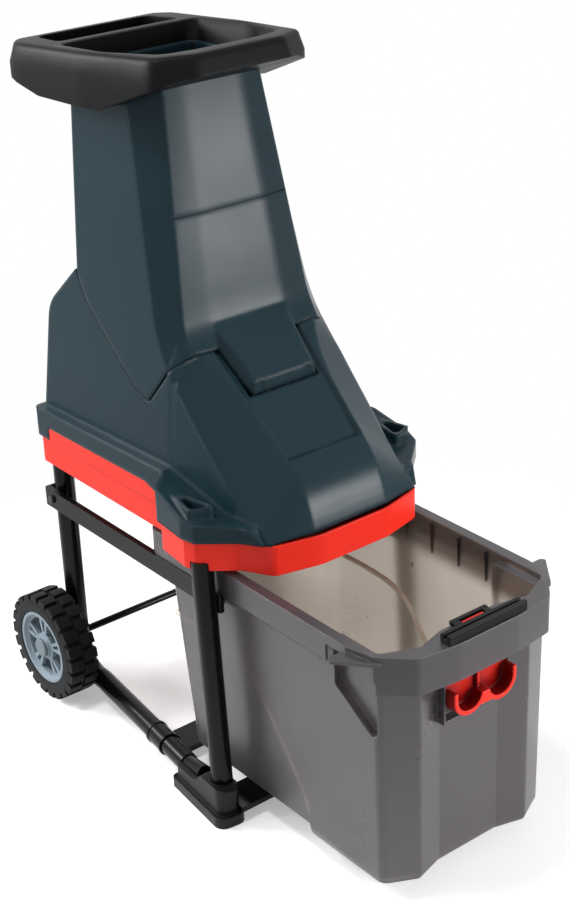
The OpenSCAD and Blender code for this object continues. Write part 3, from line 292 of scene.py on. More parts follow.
def mix_colour(tree, factor, first, second):
    """A colour mix fed by sockets or values; gives back its output."""
    made = tree.nodes.new("ShaderNodeMix")
    made.data_type = "RGBA"
    for place, value in ((MIX_FACTOR, factor), (MIX_FIRST, first), (MIX_SECOND, second)):
        socket = made.inputs[place]
        if isinstance(value, bpy.types.NodeSocket):
            tree.links.new(value, socket)
        elif isinstance(value, (int, float)):
            socket.default_value = value
        else:
            socket.default_value = (*value, 1)
    return made.outputs[MIX_RESULT]


def shared(build):
    """Lets a function build a node group once, under the function's own name, for all that use it."""
    @functools.wraps(build)
    def fetch():
        group = bpy.data.node_groups.get(build.__name__)
        return group or build(build.__name__)
    return fetch


def new_group(name, inputs, outputs):
    """An empty shader node group with its sockets and its two end nodes."""
    group = bpy.data.node_groups.new(name, "ShaderNodeTree")
    for socket_name, kind, value in inputs:
        socket = group.interface.new_socket(socket_name, in_out="INPUT", socket_type=kind)
        socket.default_value = value
    for socket_name, kind in outputs:
        group.interface.new_socket(socket_name, in_out="OUTPUT", socket_type=kind)
    return group, group.nodes.new("NodeGroupInput"), group.nodes.new("NodeGroupOutput")


@shared
def surface_grain(name):
    """Fine moulded or painted grain: a height for bump, and slow patches for colour and roughness."""
    group, start, end = new_group(
        name,
        [("Grain Scale", "NodeSocketFloat", 900.0), ("Patch Scale", "NodeSocketFloat", 9.0)],
        [("Height", "NodeSocketFloat"), ("Patches", "NodeSocketFloat")])
    place = group.nodes.new("ShaderNodeTexCoord")
    grain = add_node(group, "ShaderNodeTexNoise", Detail=3.0, Roughness=0.6)
    patches = add_node(group, "ShaderNodeTexNoise", Detail=4.0, Roughness=0.55)
    for texture, scale in ((grain, "Grain Scale"), (patches, "Patch Scale")):
        group.links.new(place.outputs["Object"], texture.inputs["Vector"])
        group.links.new(start.outputs[scale], texture.inputs["Scale"])
    group.links.new(grain.outputs["Fac"], end.inputs["Height"])
    group.links.new(patches.outputs["Fac"], end.inputs["Patches"])
    return group


@shared
def soft_edge(name):
    """Rounded edges: a normal that turns over within the radius, and a mask along the edge."""
    group, start, end = new_group(
        name, [("Radius", "NodeSocketFloat", 0.002)],
        [("Normal", "NodeSocketVector"), ("Edge", "NodeSocketFloat")])
    rounding = group.nodes.new("ShaderNodeBevel")
    rounding.samples = EDGE_SAMPLES
    group.links.new(start.outputs["Radius"], rounding.inputs["Radius"])
    surface = group.nodes.new("ShaderNodeNewGeometry")
    turn = group.nodes.new("ShaderNodeVectorMath")
    turn.operation = "DOT_PRODUCT"
    group.links.new(rounding.outputs["Normal"], turn.inputs[0])
    group.links.new(surface.outputs["Normal"], turn.inputs[1])
    off = math_node(group, "SUBTRACT", 1.0, turn.outputs["Value"])
    edge = math_node(group, "MULTIPLY", off, EDGE_GAIN, clamp=True)
    group.links.new(rounding.outputs["Normal"], end.inputs["Normal"])
    group.links.new(edge, end.inputs["Edge"])
    return group


@shared
def settled_dust(name):
    """Light settled dust: a mask that grows on surfaces facing up and breaks into patches."""
    group, start, end = new_group(
        name, [("Amount", "NodeSocketFloat", 0.1)], [("Dust", "NodeSocketFloat")])
    surface = group.nodes.new("ShaderNodeNewGeometry")
    parts = group.nodes.new("ShaderNodeSeparateXYZ")
    group.links.new(surface.outputs["Normal"], parts.inputs[0])
    up = math_node(group, "MAXIMUM", parts.outputs["Z"], 0.0)
    place = group.nodes.new("ShaderNodeTexCoord")
    speckle = add_node(group, "ShaderNodeTexNoise", Scale=60.0, Detail=5.0)
    group.links.new(place.outputs["Object"], speckle.inputs["Vector"])
    broken = math_node(group, "MULTIPLY", up, speckle.outputs["Fac"])
    dust = math_node(group, "MULTIPLY", broken, start.outputs["Amount"], clamp=True)
    group.links.new(dust, end.inputs["Dust"])
    return group


@shared
def deep_hollows(name):
    """A mask for painted shade in hollows: how far walls close by shut a point off from the open."""
    group, start, end = new_group(
        name, [("Distance", "NodeSocketFloat", 0.03)], [("Painted Shade", "NodeSocketFloat")])
    openness = group.nodes.new("ShaderNodeAmbientOcclusion")
    openness.samples = PAINTED_SHADE_SAMPLES
    group.links.new(start.outputs["Distance"], openness.inputs["Distance"])
    closed = math_node(group, "SUBTRACT", 1.0, openness.outputs["AO"])
    painted_shade = math_node(group, "MULTIPLY", closed, PAINTED_SHADE_GAIN, clamp=True)
    group.links.new(painted_shade, end.inputs["Painted Shade"])
    return group


@shared
def inner_faces(name):
    """Masks of faces that look towards a middle point, and of what lies above a band of heights."""
    group, start, end = new_group(
        name,
        [("Middle", "NodeSocketVector", (0.0, 0.0, 0.0)), ("Band Low", "NodeSocketFloat", 0.0),
         ("Band High", "NodeSocketFloat", 1.0)],
        [("Inside", "NodeSocketFloat"), ("Band", "NodeSocketFloat")])
    place = group.nodes.new("ShaderNodeTexCoord")
    parts = group.nodes.new("ShaderNodeSeparateXYZ")
    group.links.new(place.outputs["Object"], parts.inputs[0])
    band = group.nodes.new("ShaderNodeMapRange")
    band.interpolation_type = "SMOOTHSTEP"
    group.links.new(parts.outputs["Z"], band.inputs["Value"])
    group.links.new(start.outputs["Band Low"], band.inputs["From Min"])
    group.links.new(start.outputs["Band High"], band.inputs["From Max"])
    group.links.new(band.outputs["Result"], end.inputs["Band"])
    away = group.nodes.new("ShaderNodeVectorMath")
    away.operation = "SUBTRACT"
    group.links.new(place.outputs["Object"], away.inputs[0])
    group.links.new(start.outputs["Middle"], away.inputs[1])
    facing = group.nodes.new("ShaderNodeVectorMath")
    facing.operation = "DOT_PRODUCT"
    group.links.new(place.outputs["Normal"], facing.inputs[0])
    group.links.new(away.outputs["Vector"], facing.inputs[1])
    inside = math_node(group, "LESS_THAN", facing.outputs["Value"], 0.0)
    group.links.new(inside, end.inputs["Inside"])
    return group


def place_group(tree, group, **inputs):
    """Places a shared group in a material with its own values."""
    made = tree.nodes.new("ShaderNodeGroup")
    made.node_tree = group
    for name, value in inputs.items():
        made.inputs[name.replace("_", " ")].default_value = value
    return made


def finish_material(name, base, roughness, edge, grain=900.0, bump=0.1, patch=0.12, edge_wear_and_highlight=0.25,
                    dust=0.1, lining=None, painted_shade=None, **shader_inputs):
    """A moulded, painted or ground finish: patchy colour, lighter edges for wear and painted highlight,
    fine grain and a little dust.

    The inner colour is painted light for light through the walls, given with a middle point for faces
    that look inwards, then the colour and heights of a band that it fades into. The colour for deep
    hollows is painted shade, given with how near their walls stand.
    """
    material = bpy.data.materials.new(name)
    material.use_nodes = True
    tree = material.node_tree
    shader = tree.nodes["Principled BSDF"]
    for socket, value in shader_inputs.items():
        shader.inputs[socket.replace("_", " ")].default_value = value
    texture = place_group(tree, surface_grain(), Grain_Scale=grain)
    soft = place_group(tree, soft_edge(), Radius=edge)
    settled = place_group(tree, settled_dust(), Amount=dust)
    darker = tuple(value * (1 - patch) for value in base)
    lighter = tuple(min(1, value * (1 + patch)) for value in base)
    patchy = mix_colour(tree, texture.outputs["Patches"], darker, lighter)
    # Painted light: faces that look inwards take the pale inner colour, which fades into the band colour
    # under the rim
    if lining is not None:
        inner_light_colour, middle, band_colour, (band_low, band_high) = lining
        inner = place_group(tree, inner_faces(), Middle=middle, Band_Low=band_low, Band_High=band_high)
        banded = mix_colour(tree, inner.outputs["Band"], inner_light_colour, band_colour)
        patchy = mix_colour(tree, inner.outputs["Inside"], patchy, banded)
    # Edges turn towards a paler copy of the base colour: partly wear, partly painted highlight
    worn_and_highlit = tuple(min(1, value * EDGE_WEAR_AND_HIGHLIGHT_GAIN + EDGE_WEAR_AND_HIGHLIGHT_LIFT) for value in base)
    edge_mask = math_node(tree, "MULTIPLY", soft.outputs["Edge"], edge_wear_and_highlight)
    edged = mix_colour(tree, edge_mask, patchy, worn_and_highlit)
    dusty = mix_colour(tree, settled.outputs["Dust"], edged, DUST_COLOUR)
    # Painted shade: deep hollows darken towards a dark colour, by how much the walls around shut them
    # off
    if painted_shade is not None:
        painted_shade_colour, reach = painted_shade
        shut = place_group(tree, deep_hollows(), Distance=reach)
        dusty = mix_colour(tree, shut.outputs["Painted Shade"], dusty, painted_shade_colour)
    tree.links.new(dusty, shader.inputs["Base Color"])
    spread = math_node(
        tree, "MULTIPLY_ADD", texture.outputs["Patches"], ROUGH_SWING, roughness - ROUGH_SWING / 2)
    dull = math_node(tree, "MULTIPLY", settled.outputs["Dust"], DUST_ROUGHNESS)
    rough = math_node(tree, "ADD", spread, dull, clamp=True)
    tree.links.new(rough, shader.inputs["Roughness"])
    relief = add_node(tree, "ShaderNodeBump", Strength=bump, Distance=GRAIN_DEPTH)
    tree.links.new(texture.outputs["Height"], relief.inputs["Height"])
    tree.links.new(soft.outputs["Normal"], relief.inputs["Normal"])
    tree.links.new(relief.outputs["Normal"], shader.inputs["Normal"])
    return material


@shared
def smooth_by_angle(name):
    """A geometry group that joins the faces of a mesh and keeps only edges over an angle sharp."""
    group = bpy.data.node_groups.new(name, "GeometryNodeTree")
    group.interface.new_socket("Geometry", in_out="INPUT", socket_type="NodeSocketGeometry")
    group.interface.new_socket("Angle", in_out="INPUT", socket_type="NodeSocketFloat")
    group.interface.new_socket("Geometry", in_out="OUTPUT", socket_type="NodeSocketGeometry")
    start = group.nodes.new("NodeGroupInput")
    end = group.nodes.new("NodeGroupOutput")
    join = add_node(group, "GeometryNodeMergeByDistance", Distance=JOIN_DISTANCE)
    faces = add_node(group, "GeometryNodeSetShadeSmooth", Shade_Smooth=True)
    faces.domain = "FACE"
    bend = group.nodes.new("GeometryNodeInputMeshEdgeAngle")
    smooth = group.nodes.new("FunctionNodeCompare")
    smooth.data_type = "FLOAT"
    smooth.operation = "LESS_THAN"
    edges = group.nodes.new("GeometryNodeSetShadeSmooth")
    edges.domain = "EDGE"
    group.links.new(start.outputs["Geometry"], join.inputs["Geometry"])
    group.links.new(join.outputs["Geometry"], faces.inputs["Geometry"])
    group.links.new(faces.outputs["Geometry"], edges.inputs["Geometry"])
    group.links.new(bend.outputs["Unsigned Angle"], smooth.inputs["A"])
    group.links.new(start.outputs["Angle"], smooth.inputs["B"])
    group.links.new(smooth.outputs["Result"], edges.inputs["Shade Smooth"])
    group.links.new(edges.outputs["Geometry"], end.inputs["Geometry"])
    return group


def soften(piece, angle):
    """Shades a piece smoothly across small angles, with large faces kept flat."""
    shading = piece.modifiers.new("smooth_by_angle", "NODES")
    shading.node_group = smooth_by_angle()
    for item in shading.node_group.interface.items_tree:
        if item.item_type == "SOCKET" and item.in_out == "INPUT" and item.name == "Angle":
            shading[item.identifier] = angle
    weighted = piece.modifiers.new("weighted_normal", "WEIGHTED_NORMAL")
    weighted.keep_sharp = True
    weighted.weight = FACE_WEIGHT


def dress(names, material):
    """Gives CAD nodes a material in all their slots, and smooth shading."""
    angle = bpy.context.scene.shredder_finish.smooth_angle
    for name in names:
        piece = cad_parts[name]
        piece.data.materials.clear()
        piece.data.materials.append(material)
        soften(piece, angle)


def prism(mesh, outline, axis, low, high):
    """Adds a closed prism to a bmesh: an outline in the plane across an axis, drawn from low to high."""
    others = [i for i in range(3) if i != axis]
    rings = []
    for level in (low, high):
        ring = []
        for first, second in outline:
            point = [0.0, 0.0, 0.0]
            point[axis] = level
            point[others[0]] = first
            point[others[1]] = second
            ring.append(mesh.verts.new(point))
        rings.append(ring)
    mesh.faces.new(rings[0])
    mesh.faces.new(rings[1])
    count = len(outline)
    for i in range(count):
        after = (i + 1) % count
        mesh.faces.new((rings[0][i], rings[0][after], rings[1][after], rings[1][i]))


def rectangle(low, high):
    """The corners of a rectangle, from two that face each other."""
    return [(low[0], low[1]), (high[0], low[1]), (high[0], high[1]), (low[0], high[1])]


def arc(middle, radius, start, end, steps=14):
    """Points on an arc, in degrees."""
    turns = [math.radians(start + (end - start) * i / steps) for i in range(steps + 1)]
    return [(middle[0] + radius * math.cos(turn), middle[1] + radius * math.sin(turn)) for turn in turns]


def finish_piece(name, mesh, material, body, rounding=0.0):
    """Turns a bmesh into a piece that rides on a body, with rounded edges and smooth shading."""
    bmesh.ops.recalc_face_normals(mesh, faces=mesh.faces)
    data = bpy.data.meshes.new(name)
    mesh.to_mesh(data)
    mesh.free()
    data.materials.append(material)
    piece = bpy.data.objects.new(name, data)
    bpy.context.scene.collection.objects.link(piece)
    if rounding > 0:
        bevel = piece.modifiers.new("rounding", "BEVEL")
        bevel.width = rounding
        bevel.segments = ROUND_STEPS
        bevel.limit_method = "ANGLE"
        bevel.angle_limit = ROUND_ANGLE
    soften(piece, bpy.context.scene.shredder_finish.smooth_angle)
    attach(piece, body)
    return piece


def finish_settings(context):
    return context.scene.shredder_finish


def shaded(base, part):
    """A colour at a part of its strength."""
    return tuple(value * part for value in base)


def mirrored(half):
    """A closed outline from its right half, listed from the front to the rear."""
    return [*half, *[(-x, y) for x, y in reversed(half)]]


def rounded(points, radii, steps=10):
    """An outline with each corner turned into a curve of about its radius."""
    made = []
    for i, (corner, radius) in enumerate(zip(points, radii)):
        here = Vector(corner)
        back = (Vector(points[i - 1]) - here).normalized()
        ahead = (Vector(points[(i + 1) % len(points)]) - here).normalized()
        reach = radius / math.tan(back.angle(ahead) / 2)
        for k in range(steps + 1):
            part = k / steps
            made.append(here + back * reach * (1 - part) ** 2 + ahead * reach * part ** 2)
    return made


def around(outline, middle, count):
    """Where evenly turned rays from a middle point cross an outline."""
    ring = []
    start = Vector(middle)
    for i in range(count):
        turn = 2 * math.pi * i / count
        end = start + Vector((math.cos(turn), math.sin(turn)))
        for first, second in zip(outline, outline[1:] + outline[:1]):
            hit = geometry.intersect_line_line_2d(start, end, first, second)
            if hit is not None:
                break
        ring.append(hit)
    return ring


def grown(ring, distance):
    """A ring moved outwards across its own run."""
    made = []
    for i, point in enumerate(ring):
        run = (ring[(i + 1) % len(ring)] - ring[i - 1]).normalized()
        made.append(point + distance * Vector((run.y, -run.x)))
    return made


def height_at(profile, y):
    """The height of a side profile, listed from front to rear, at a place along it."""
    for (y0, z0), (y1, z1) in zip(profile, profile[1:]):
        if y <= y1:
            return z0 + (z1 - z0) * (y - y0) / (y1 - y0)
    return profile[-1][1]


def ring_loft(rings):
    """A bmesh that runs over rings of points and closes from the last to the first."""
    mesh = bmesh.new()
    rows = [[mesh.verts.new(point) for point in ring] for ring in rings]
    for row, following in zip(rows, rows[1:] + rows[:1]):
        for i in range(len(row)):
            after = (i + 1) % len(row)
            mesh.faces.new((row[i], row[after], following[after], following[i]))
    return mesh


def cut_out(mesh, tool):
    """A bmesh with a second one taken out of it."""
    pieces = []
    for part in (mesh, tool):
        bmesh.ops.recalc_face_normals(part, faces=part.faces)
        data = bpy.data.meshes.new("cut")
        part.to_mesh(data)
        part.free()
        pieces.append(bpy.data.objects.new("cut", data))
        bpy.context.scene.collection.objects.link(pieces[-1])
    taking = pieces[0].modifiers.new("cut", "BOOLEAN")
    taking.operation = "DIFFERENCE"
    taking.solver = "EXACT"
    taking.object = pieces[1]
    result = bmesh.new()
    result.from_object(pieces[0], bpy.context.evaluated_depsgraph_get())
    for piece in pieces:
        bpy.data.meshes.remove(piece.data)
    return result


def rim_ring(half):
    """Evenly turned points on a mirrored outline, from the corners and radii of its right half."""
    corners = [(x, y) for x, y, radius in half]
    radii = [radius for x, y, radius in half]
    return around(rounded(mirrored(corners), [*radii, *reversed(radii)]), RIM_MIDDLE, RIM_COUNT)


def rim_shell(sizes, material):
    """The hopper rim: deep sides, a leaning front, rounded lips, a feed mouth and a grip slot."""
    low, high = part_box("hopper_rim")
    outer, mouth, seat = rim_ring(RIM_OUTER), rim_ring(RIM_MOUTH), rim_ring(RIM_SEAT)

    def top_at(y):
        return high.z - RIM_FALL * max(0, y - RIM_FALL_START)

    def under_at(y):
        return height_at(RIM_UNDER, y)

    def roof(ring, drop):
        return [(p.x, p.y, top_at(p.y) - drop) for p in ring]

    # Points on a lip's quarter round lie this far in from its two ends, as parts of its radius
    mouth_turn, near, far = 0.35, 0.14, 0.5
    least_edge, collar_step, margin = 0.001, 0.002, 0.1
    lip, mouth_lip = sizes.lip, sizes.mouth_lip
    skirt = grown(outer, sizes.flare)
    face_low = [(p.x, p.y, max(under_at(p.y), top_at(p.y) - sizes.face)) for p in skirt]
    skirt_low = [(x, y, min(under_at(y), z - least_edge)) for x, y, z in face_low]
    rings = [
        [(p.x, p.y, RIM_SEAT_TOP) for p in seat],
        roof(mouth, 2 * mouth_lip),
        roof(grown(mouth, mouth_turn * mouth_lip), mouth_turn * mouth_lip),
        roof(grown(mouth, mouth_lip), 0),
        roof(grown(outer, -lip), 0),
        roof(grown(outer, -far * lip), near * lip),
        roof(grown(outer, -near * lip), far * lip),
        roof(outer, lip),
        face_low,
        skirt_low,
        [(p.x, p.y, min(under_at(p.y) + collar_step, RIM_COLLAR_TOP)) for p in seat],
    ]
    slot = bmesh.new()
    prism(slot, rounded(SLOT_CORNERS, SLOT_RADII), Z, low.z - margin, high.z + margin)
    shell = cut_out(ring_loft(rings), slot)
    return finish_piece("rim_shell", shell, material, "funnel", rounding=0.0018)


class SHREDDER_OT_body(bpy.types.Operator):
    """Slate body mouldings and the hopper rim"""

    bl_idname = "shredder.body"
    bl_label = "Body"

    def execute(self, context):
        look = finish_settings(context)
        slate = finish_material(
            "slate_moulding", look.slate, roughness=0.24, edge=4.0 * look.moulded_edge, grain=1400,
            bump=0.08, patch=0.06, edge_wear_and_highlight=0.12, dust=0.004, Specular_IOR_Level=0.11)
        dress(SLATE_NODES, slate)
        rim = finish_material(
            "rim_moulding", look.charcoal, roughness=0.42, edge=1.5 * look.moulded_edge, grain=1100,
            bump=0.25, patch=0.10, edge_wear_and_highlight=0.2, dust=0.003, Specular_IOR_Level=0.09)
        dress(RIM_NODES, rim)
        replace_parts(rim_shell(context.scene.shredder_rim, rim), "hopper_rim")
        return {"FINISHED"}


def finger_grip(sizes, material):
    """The locking slider: two finger cups, open above, on a plate with the bolt."""
    low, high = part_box("locking_slider")
    lobe, cup = sizes.lobe_r, sizes.cup_r
    top = low.z + GRIP_CAD_H
    level = top - sizes.grip_h + lobe
    plate_y = low.y + sizes.cup_depth
    left = (-lobe, level)
    right = (lobe, level)
    # Degrees of each round that the middle between the two takes up, outside and in
    lobe_join, cup_join = 52, 10
    under = arc(left, lobe, 180, 360 - lobe_join) + arc(right, lobe, 180 + lobe_join, 360)
    wall_top = top - sizes.cup_drop
    inner_right = [(lobe + cup, wall_top), *arc(right, cup, 360, 180 + cup_join)]
    inner_left = [*arc(left, cup, 360 - cup_join, 180), (-lobe - cup, wall_top)]
    walls = [(-2 * lobe, wall_top), *under, (2 * lobe, wall_top), *inner_right, *inner_left]
    plate = [(-2 * lobe, top), *under, (2 * lobe, top)]
    rib_half, rib_out, lap = 0.003, 0.006, 0.001
    rib = rectangle((-rib_half, level - cup / 2), (rib_half, top - lap))
    bolt_half, bolt_t = 0.020, 0.006
    bolt = rectangle((-bolt_half, level), (bolt_half, high.z))
    mesh = bmesh.new()
    prism(mesh, walls, Y, low.y, plate_y + sizes.plate_t / 2)
    prism(mesh, plate, Y, plate_y, plate_y + sizes.plate_t)
    prism(mesh, rib, Y, plate_y - rib_out, plate_y + lap)
    prism(mesh, bolt, Y, high.y - bolt_t, high.y)
    return finish_piece("finger_grip", mesh, material, "lock", rounding=0.0016)


class SHREDDER_OT_base(bpy.types.Operator):
    """Red base tray and the red locking slider"""

    bl_idname = "shredder.base"
    bl_label = "Base"

    def execute(self, context):
        look = finish_settings(context)
        reach = 0.05
        # The slider's finish takes painted shade in the depths of its cups
        red, scoops_with_painted_shade = [
            finish_material(
                name, look.red, roughness=0.34, edge=look.moulded_edge, grain=1400, bump=0.08,
                patch=0.05, edge_wear_and_highlight=0.1, dust=0.01, painted_shade=painted_shade, Specular_IOR_Level=0.2)
            for name, painted_shade in (("red_moulding", None), ("red_scoops_painted_shade", (look.red_hollow, reach)))]
        dress(RED_NODES, red)
        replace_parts(finger_grip(context.scene.shredder_grip, scoops_with_painted_shade), "locking_slider")
        return {"FINISHED"}


class SHREDDER_OT_frame(bpy.types.Operator):
    """Painted tube frame and its plastic feet"""

    bl_idname = "shredder.frame"
    bl_label = "Frame"

    def execute(self, context):
        look = finish_settings(context)
        paint = finish_material(
            "black_paint", look.paint, roughness=0.22, edge=look.metal_edge, grain=500, bump=0.08,
            patch=0.15, edge_wear_and_highlight=0.1, dust=0.004, Specular_IOR_Level=0.15, Coat_Weight=0.04,
            Coat_Roughness=0.10)
        dress(TUBE_NODES, paint)
        shoe = finish_material(
            "foot_moulding", look.charcoal, roughness=0.42, edge=look.moulded_edge, grain=1100,
            bump=0.2, patch=0.1, edge_wear_and_highlight=0.3, dust=0.01, Specular_IOR_Level=0.22)
        dress(FOOT_NODES, shoe)
        return {"FINISHED"}


class SHREDDER_OT_wheels(bpy.types.Operator):
    """Tyres, hubs and hub caps"""

    bl_idname = "shredder.wheels"
    bl_label = "Wheels"

    def execute(self, context):
        look = finish_settings(context)
        rubber = finish_material(
            "tyre_rubber", look.rubber, roughness=0.55, edge=look.moulded_edge, grain=700, bump=0.35,
            patch=0.2, edge_wear_and_highlight=0.3, dust=0.005, Specular_IOR_Level=0.12)
        dress(TYRE_NODES, rubber)
        hub = finish_material(
            "hub_moulding", look.hub, roughness=0.45, edge=look.moulded_edge * 0.6, grain=1200,
            bump=0.1, patch=0.08, edge_wear_and_highlight=0.3, dust=0.05, Specular_IOR_Level=0.4)
        dress(HUB_NODES, hub)
        cap = finish_material(
            "cap_moulding", shaded(look.hub, part=0.6), roughness=0.4, edge=look.moulded_edge,
            grain=1200, bump=0.1, patch=0.08, edge_wear_and_highlight=0.3, dust=0.05, Specular_IOR_Level=0.4)
        dress(CAP_NODES, cap)
        return {"FINISHED"}


def side_ribs(material):
    """Thin gussets inside the box, under the rim of both sides."""
    low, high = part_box("collecting_box")
    first, spacing, count = 0.16, 0.056, 6
    depth, foot, height, thick = 0.009, 0.004, 0.048, 0.0022
    below_rim, sunk = 0.006, 0.002
    top = high.z - below_rim
    mesh = bmesh.new()
    for side in (-1, 1):
        wall = side * (high.x - SIDE_INSET)
        outline = [
            (wall + side * sunk, top), (wall - side * depth, top),
            (wall - side * foot, top - height), (wall + side * sunk, top - height),
        ]
        for i in range(count):
            y = low.y + first + i * spacing
            prism(mesh, outline, Y, y, y + thick)
    return finish_piece("box_ribs", mesh, material, "box")


def shoulder_bead(side, material):
    """The moulded shoulder line on a side of the box, from the rear down to the front of its step."""
    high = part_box("collecting_box")[1]
    radius, inset, draft = 0.0042, 0.0045, 0.014
    curve = bpy.data.curves.new("shoulder_line", "CURVE")
    curve.dimensions = "3D"
    spline = curve.splines.new("NURBS")
    spline.points.add(len(SHOULDER_LINE) - 1)
    spline.use_endpoint_u = True
    spline.order_u = 4
    for point, (y, z) in zip(spline.points, SHOULDER_LINE):
        point.co = (side * (high.x - SIDE_INSET - inset - (high.z - z) * draft), y, z, 1)
    curve.bevel_depth = radius
    curve.bevel_resolution = 2
    curve.use_fill_caps = True
    bead = bpy.data.objects.new("shoulder_bead_left" if side < 0 else "shoulder_bead_right", curve)
    curve.materials.append(material)
    bpy.context.scene.collection.objects.link(bead)
    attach(bead, "box")


class SHREDDER_OT_box(bpy.types.Operator):
    """Tinted, slightly see-through collecting box"""

    bl_idname = "shredder.box"
    bl_label = "Collecting box"

    def execute(self, context):
        look = finish_settings(context)
        low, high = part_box("collecting_box")
        fade_start, fade_end = 0.075, 0.040
        band = (high.z - fade_start, high.z - fade_end)
        # The box's inner faces take painted light, pale below and fading into the band under the rim
        box = finish_material(
            "tinted_box", look.box, roughness=0.30, edge=0.9 * look.moulded_edge, grain=1200, bump=0.05,
            patch=0.05, edge_wear_and_highlight=0.4, dust=0.008,
            lining=(look.lining, (low + high) / 2, look.band, band), Specular_IOR_Level=0.65,
            Transmission_Weight=0.65)
        dress(BOX_NODES, box)
        side_ribs(box)
        # The shoulder beads take the pale painted-light colour of the inner faces, so that they read
        # light though they lie in shade
        pale = finish_material(
            "pale_bead_painted_light", look.lining, roughness=0.4, edge=look.metal_edge, grain=1200, bump=0.05,
            patch=0.05, edge_wear_and_highlight=0.1, dust=0.005, Specular_IOR_Level=0.4)
        for side in (-1, 1):
            shoulder_bead(side, pale)
        return {"FINISHED"}


def guide_bar(sizes, material):
    """The bar on the box rim: a grooved rail, and a low frame behind it around the bolt."""
    low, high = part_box("latch_guide")
    # The rail's lips and the foot of its groove, as parts of its depth from either side
    lip_part, groove_part, rear_drop = 0.36, 0.40, 0.002
    depth = high.y - low.y
    rear_top = high.z - rear_drop
    groove = rear_top - sizes.bar_groove
    profile = [
        (low.y, low.z), (high.y, low.z), (high.y, rear_top), (high.y - lip_part * depth, rear_top),
        (high.y - groove_part * depth, groove), (low.y + groove_part * depth, groove),
        (low.y + lip_part * depth, high.z), (low.y, high.z),
    ]
    mesh = bmesh.new()
    prism(mesh, profile, X, low.x, high.x)
    bolt_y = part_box("locking_slider")[1].y
    near, far, back = bolt_y - 0.0075, bolt_y + 0.0015, bolt_y + 0.0085
    slot_half, strip, lap = 0.0215, 0.011, 0.0008
    frame_half = slot_half + strip
    top = low.z + sizes.frame_h
    for front_y, rear_y in ((high.y - lap, near), (far, back)):
        prism(mesh, rectangle((-frame_half, front_y), (frame_half, rear_y)), Z, low.z, top)
    for side in (-1, 1):
        inner, outer = sorted((side * slot_half, side * (frame_half - lap)))
        prism(mesh, rectangle((inner, near - lap), (outer, far + lap)), Z, low.z + lap, top - lap / 2)
    return finish_piece("guide_bar", mesh, material, "box", rounding=0.0010)


class SHREDDER_OT_controls(bpy.types.Operator):
    """Black fittings, buttons and the lock knob"""

    bl_idname = "shredder.controls"
    bl_label = "Controls"

    def execute(self, context):
        look = finish_settings(context)
        black = finish_material(
            "black_fitting", look.charcoal, roughness=0.34, edge=look.metal_edge, grain=1100, bump=0.12,
            patch=0.1, edge_wear_and_highlight=0.3, dust=0.006, Specular_IOR_Level=0.15)
        dress(BLACK_NODES, black)
        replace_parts(guide_bar(context.scene.shredder_grip, black), "latch_guide")
        for node, name, base in (
                ("on_button", "on_moulding", look.on_colour), ("off_button", "off_moulding", look.red)):
            cap = finish_material(
                name, base, roughness=0.35, edge=look.metal_edge, patch=0.05, edge_wear_and_highlight=0.2, dust=0.03)
            dress((node,), cap)
        return {"FINISHED"}


class SHREDDER_OT_works(bpy.types.Operator):
    """Motor, blade unit, shaft and screws"""

    bl_idname = "shredder.works"
    bl_label = "Works"

    def execute(self, context):
        look = finish_settings(context)
        steel = finish_material(
            "plated_steel", look.steel, roughness=0.32, edge=look.metal_edge, grain=600, bump=0.08,
            patch=0.12, edge_wear_and_highlight=0.3, dust=0.06, Metallic=1.0)
        dress(STEEL_NODES, steel)
        dark = finish_material(
            "blackened_screw", shaded(look.steel, part=0.08), roughness=0.36, edge=look.metal_edge,
            grain=600, bump=0.08, patch=0.12, edge_wear_and_highlight=0.4, dust=0.04, Metallic=0.6)
        dress(DARK_SCREW_NODES, dark)
        blade = finish_material(
            "ground_blade", look.blade, roughness=0.28, edge=look.metal_edge, grain=300, bump=0.1,
            patch=0.15, edge_wear_and_highlight=0.5, dust=0.05, Metallic=1.0)
        dress(BLADE_NODES, blade)
        cast = finish_material(
            "cast_metal", look.cast, roughness=0.5, edge=look.metal_edge, grain=500, bump=0.3,
            patch=0.15, edge_wear_and_highlight=0.3, dust=0.1, Metallic=0.7)
        dress(CAST_NODES, cast)
        return {"FINISHED"}


def look_matrix(stage):
    """The camera's matrix from its place, azimuth, elevation and roll."""
    turn, lift = stage.azimuth, stage.elevation
    ahead = Vector((-math.sin(turn) * math.cos(lift), math.cos(turn) * math.cos(lift), -math.sin(lift)))
    right = Vector((math.cos(turn), math.sin(turn), 0))
    up = right.cross(ahead)
    rolled_right = math.cos(stage.roll) * right + math.sin(stage.roll) * up
    rolled_up = math.cos(stage.roll) * up - math.sin(stage.roll) * right
    basis = Matrix((rolled_right, rolled_up, -ahead)).transposed().to_4x4()
    return Matrix.Translation(Vector(stage.camera_place)) @ basis


def add_lamp(name, place, aim, size, power, tint):
    """A soft rectangular lamp that looks at a point."""
    data = bpy.data.lights.new(name, "AREA")
    data.shape = "RECTANGLE"
    data.size, data.size_y = size
    data.energy = power
    data.color = tint
    lamp = bpy.data.objects.new(name, data)
    lamp.location = place
    lamp.rotation_mode = "QUATERNION"
    lamp.rotation_quaternion = (Vector(aim) - Vector(place)).to_track_quat("-Z", "Y")
    bpy.context.scene.collection.objects.link(lamp)


def seen_ray(tree):
    """One where the ray shows the background: from the camera, a gloss or through glass."""
    path = tree.nodes.new("ShaderNodeLightPath")
    shown = math_node(tree, "MAXIMUM", path.outputs["Is Camera Ray"], path.outputs["Is Glossy Ray"])
    return math_node(tree, "MAXIMUM", shown, path.outputs["Is Transmission Ray"])


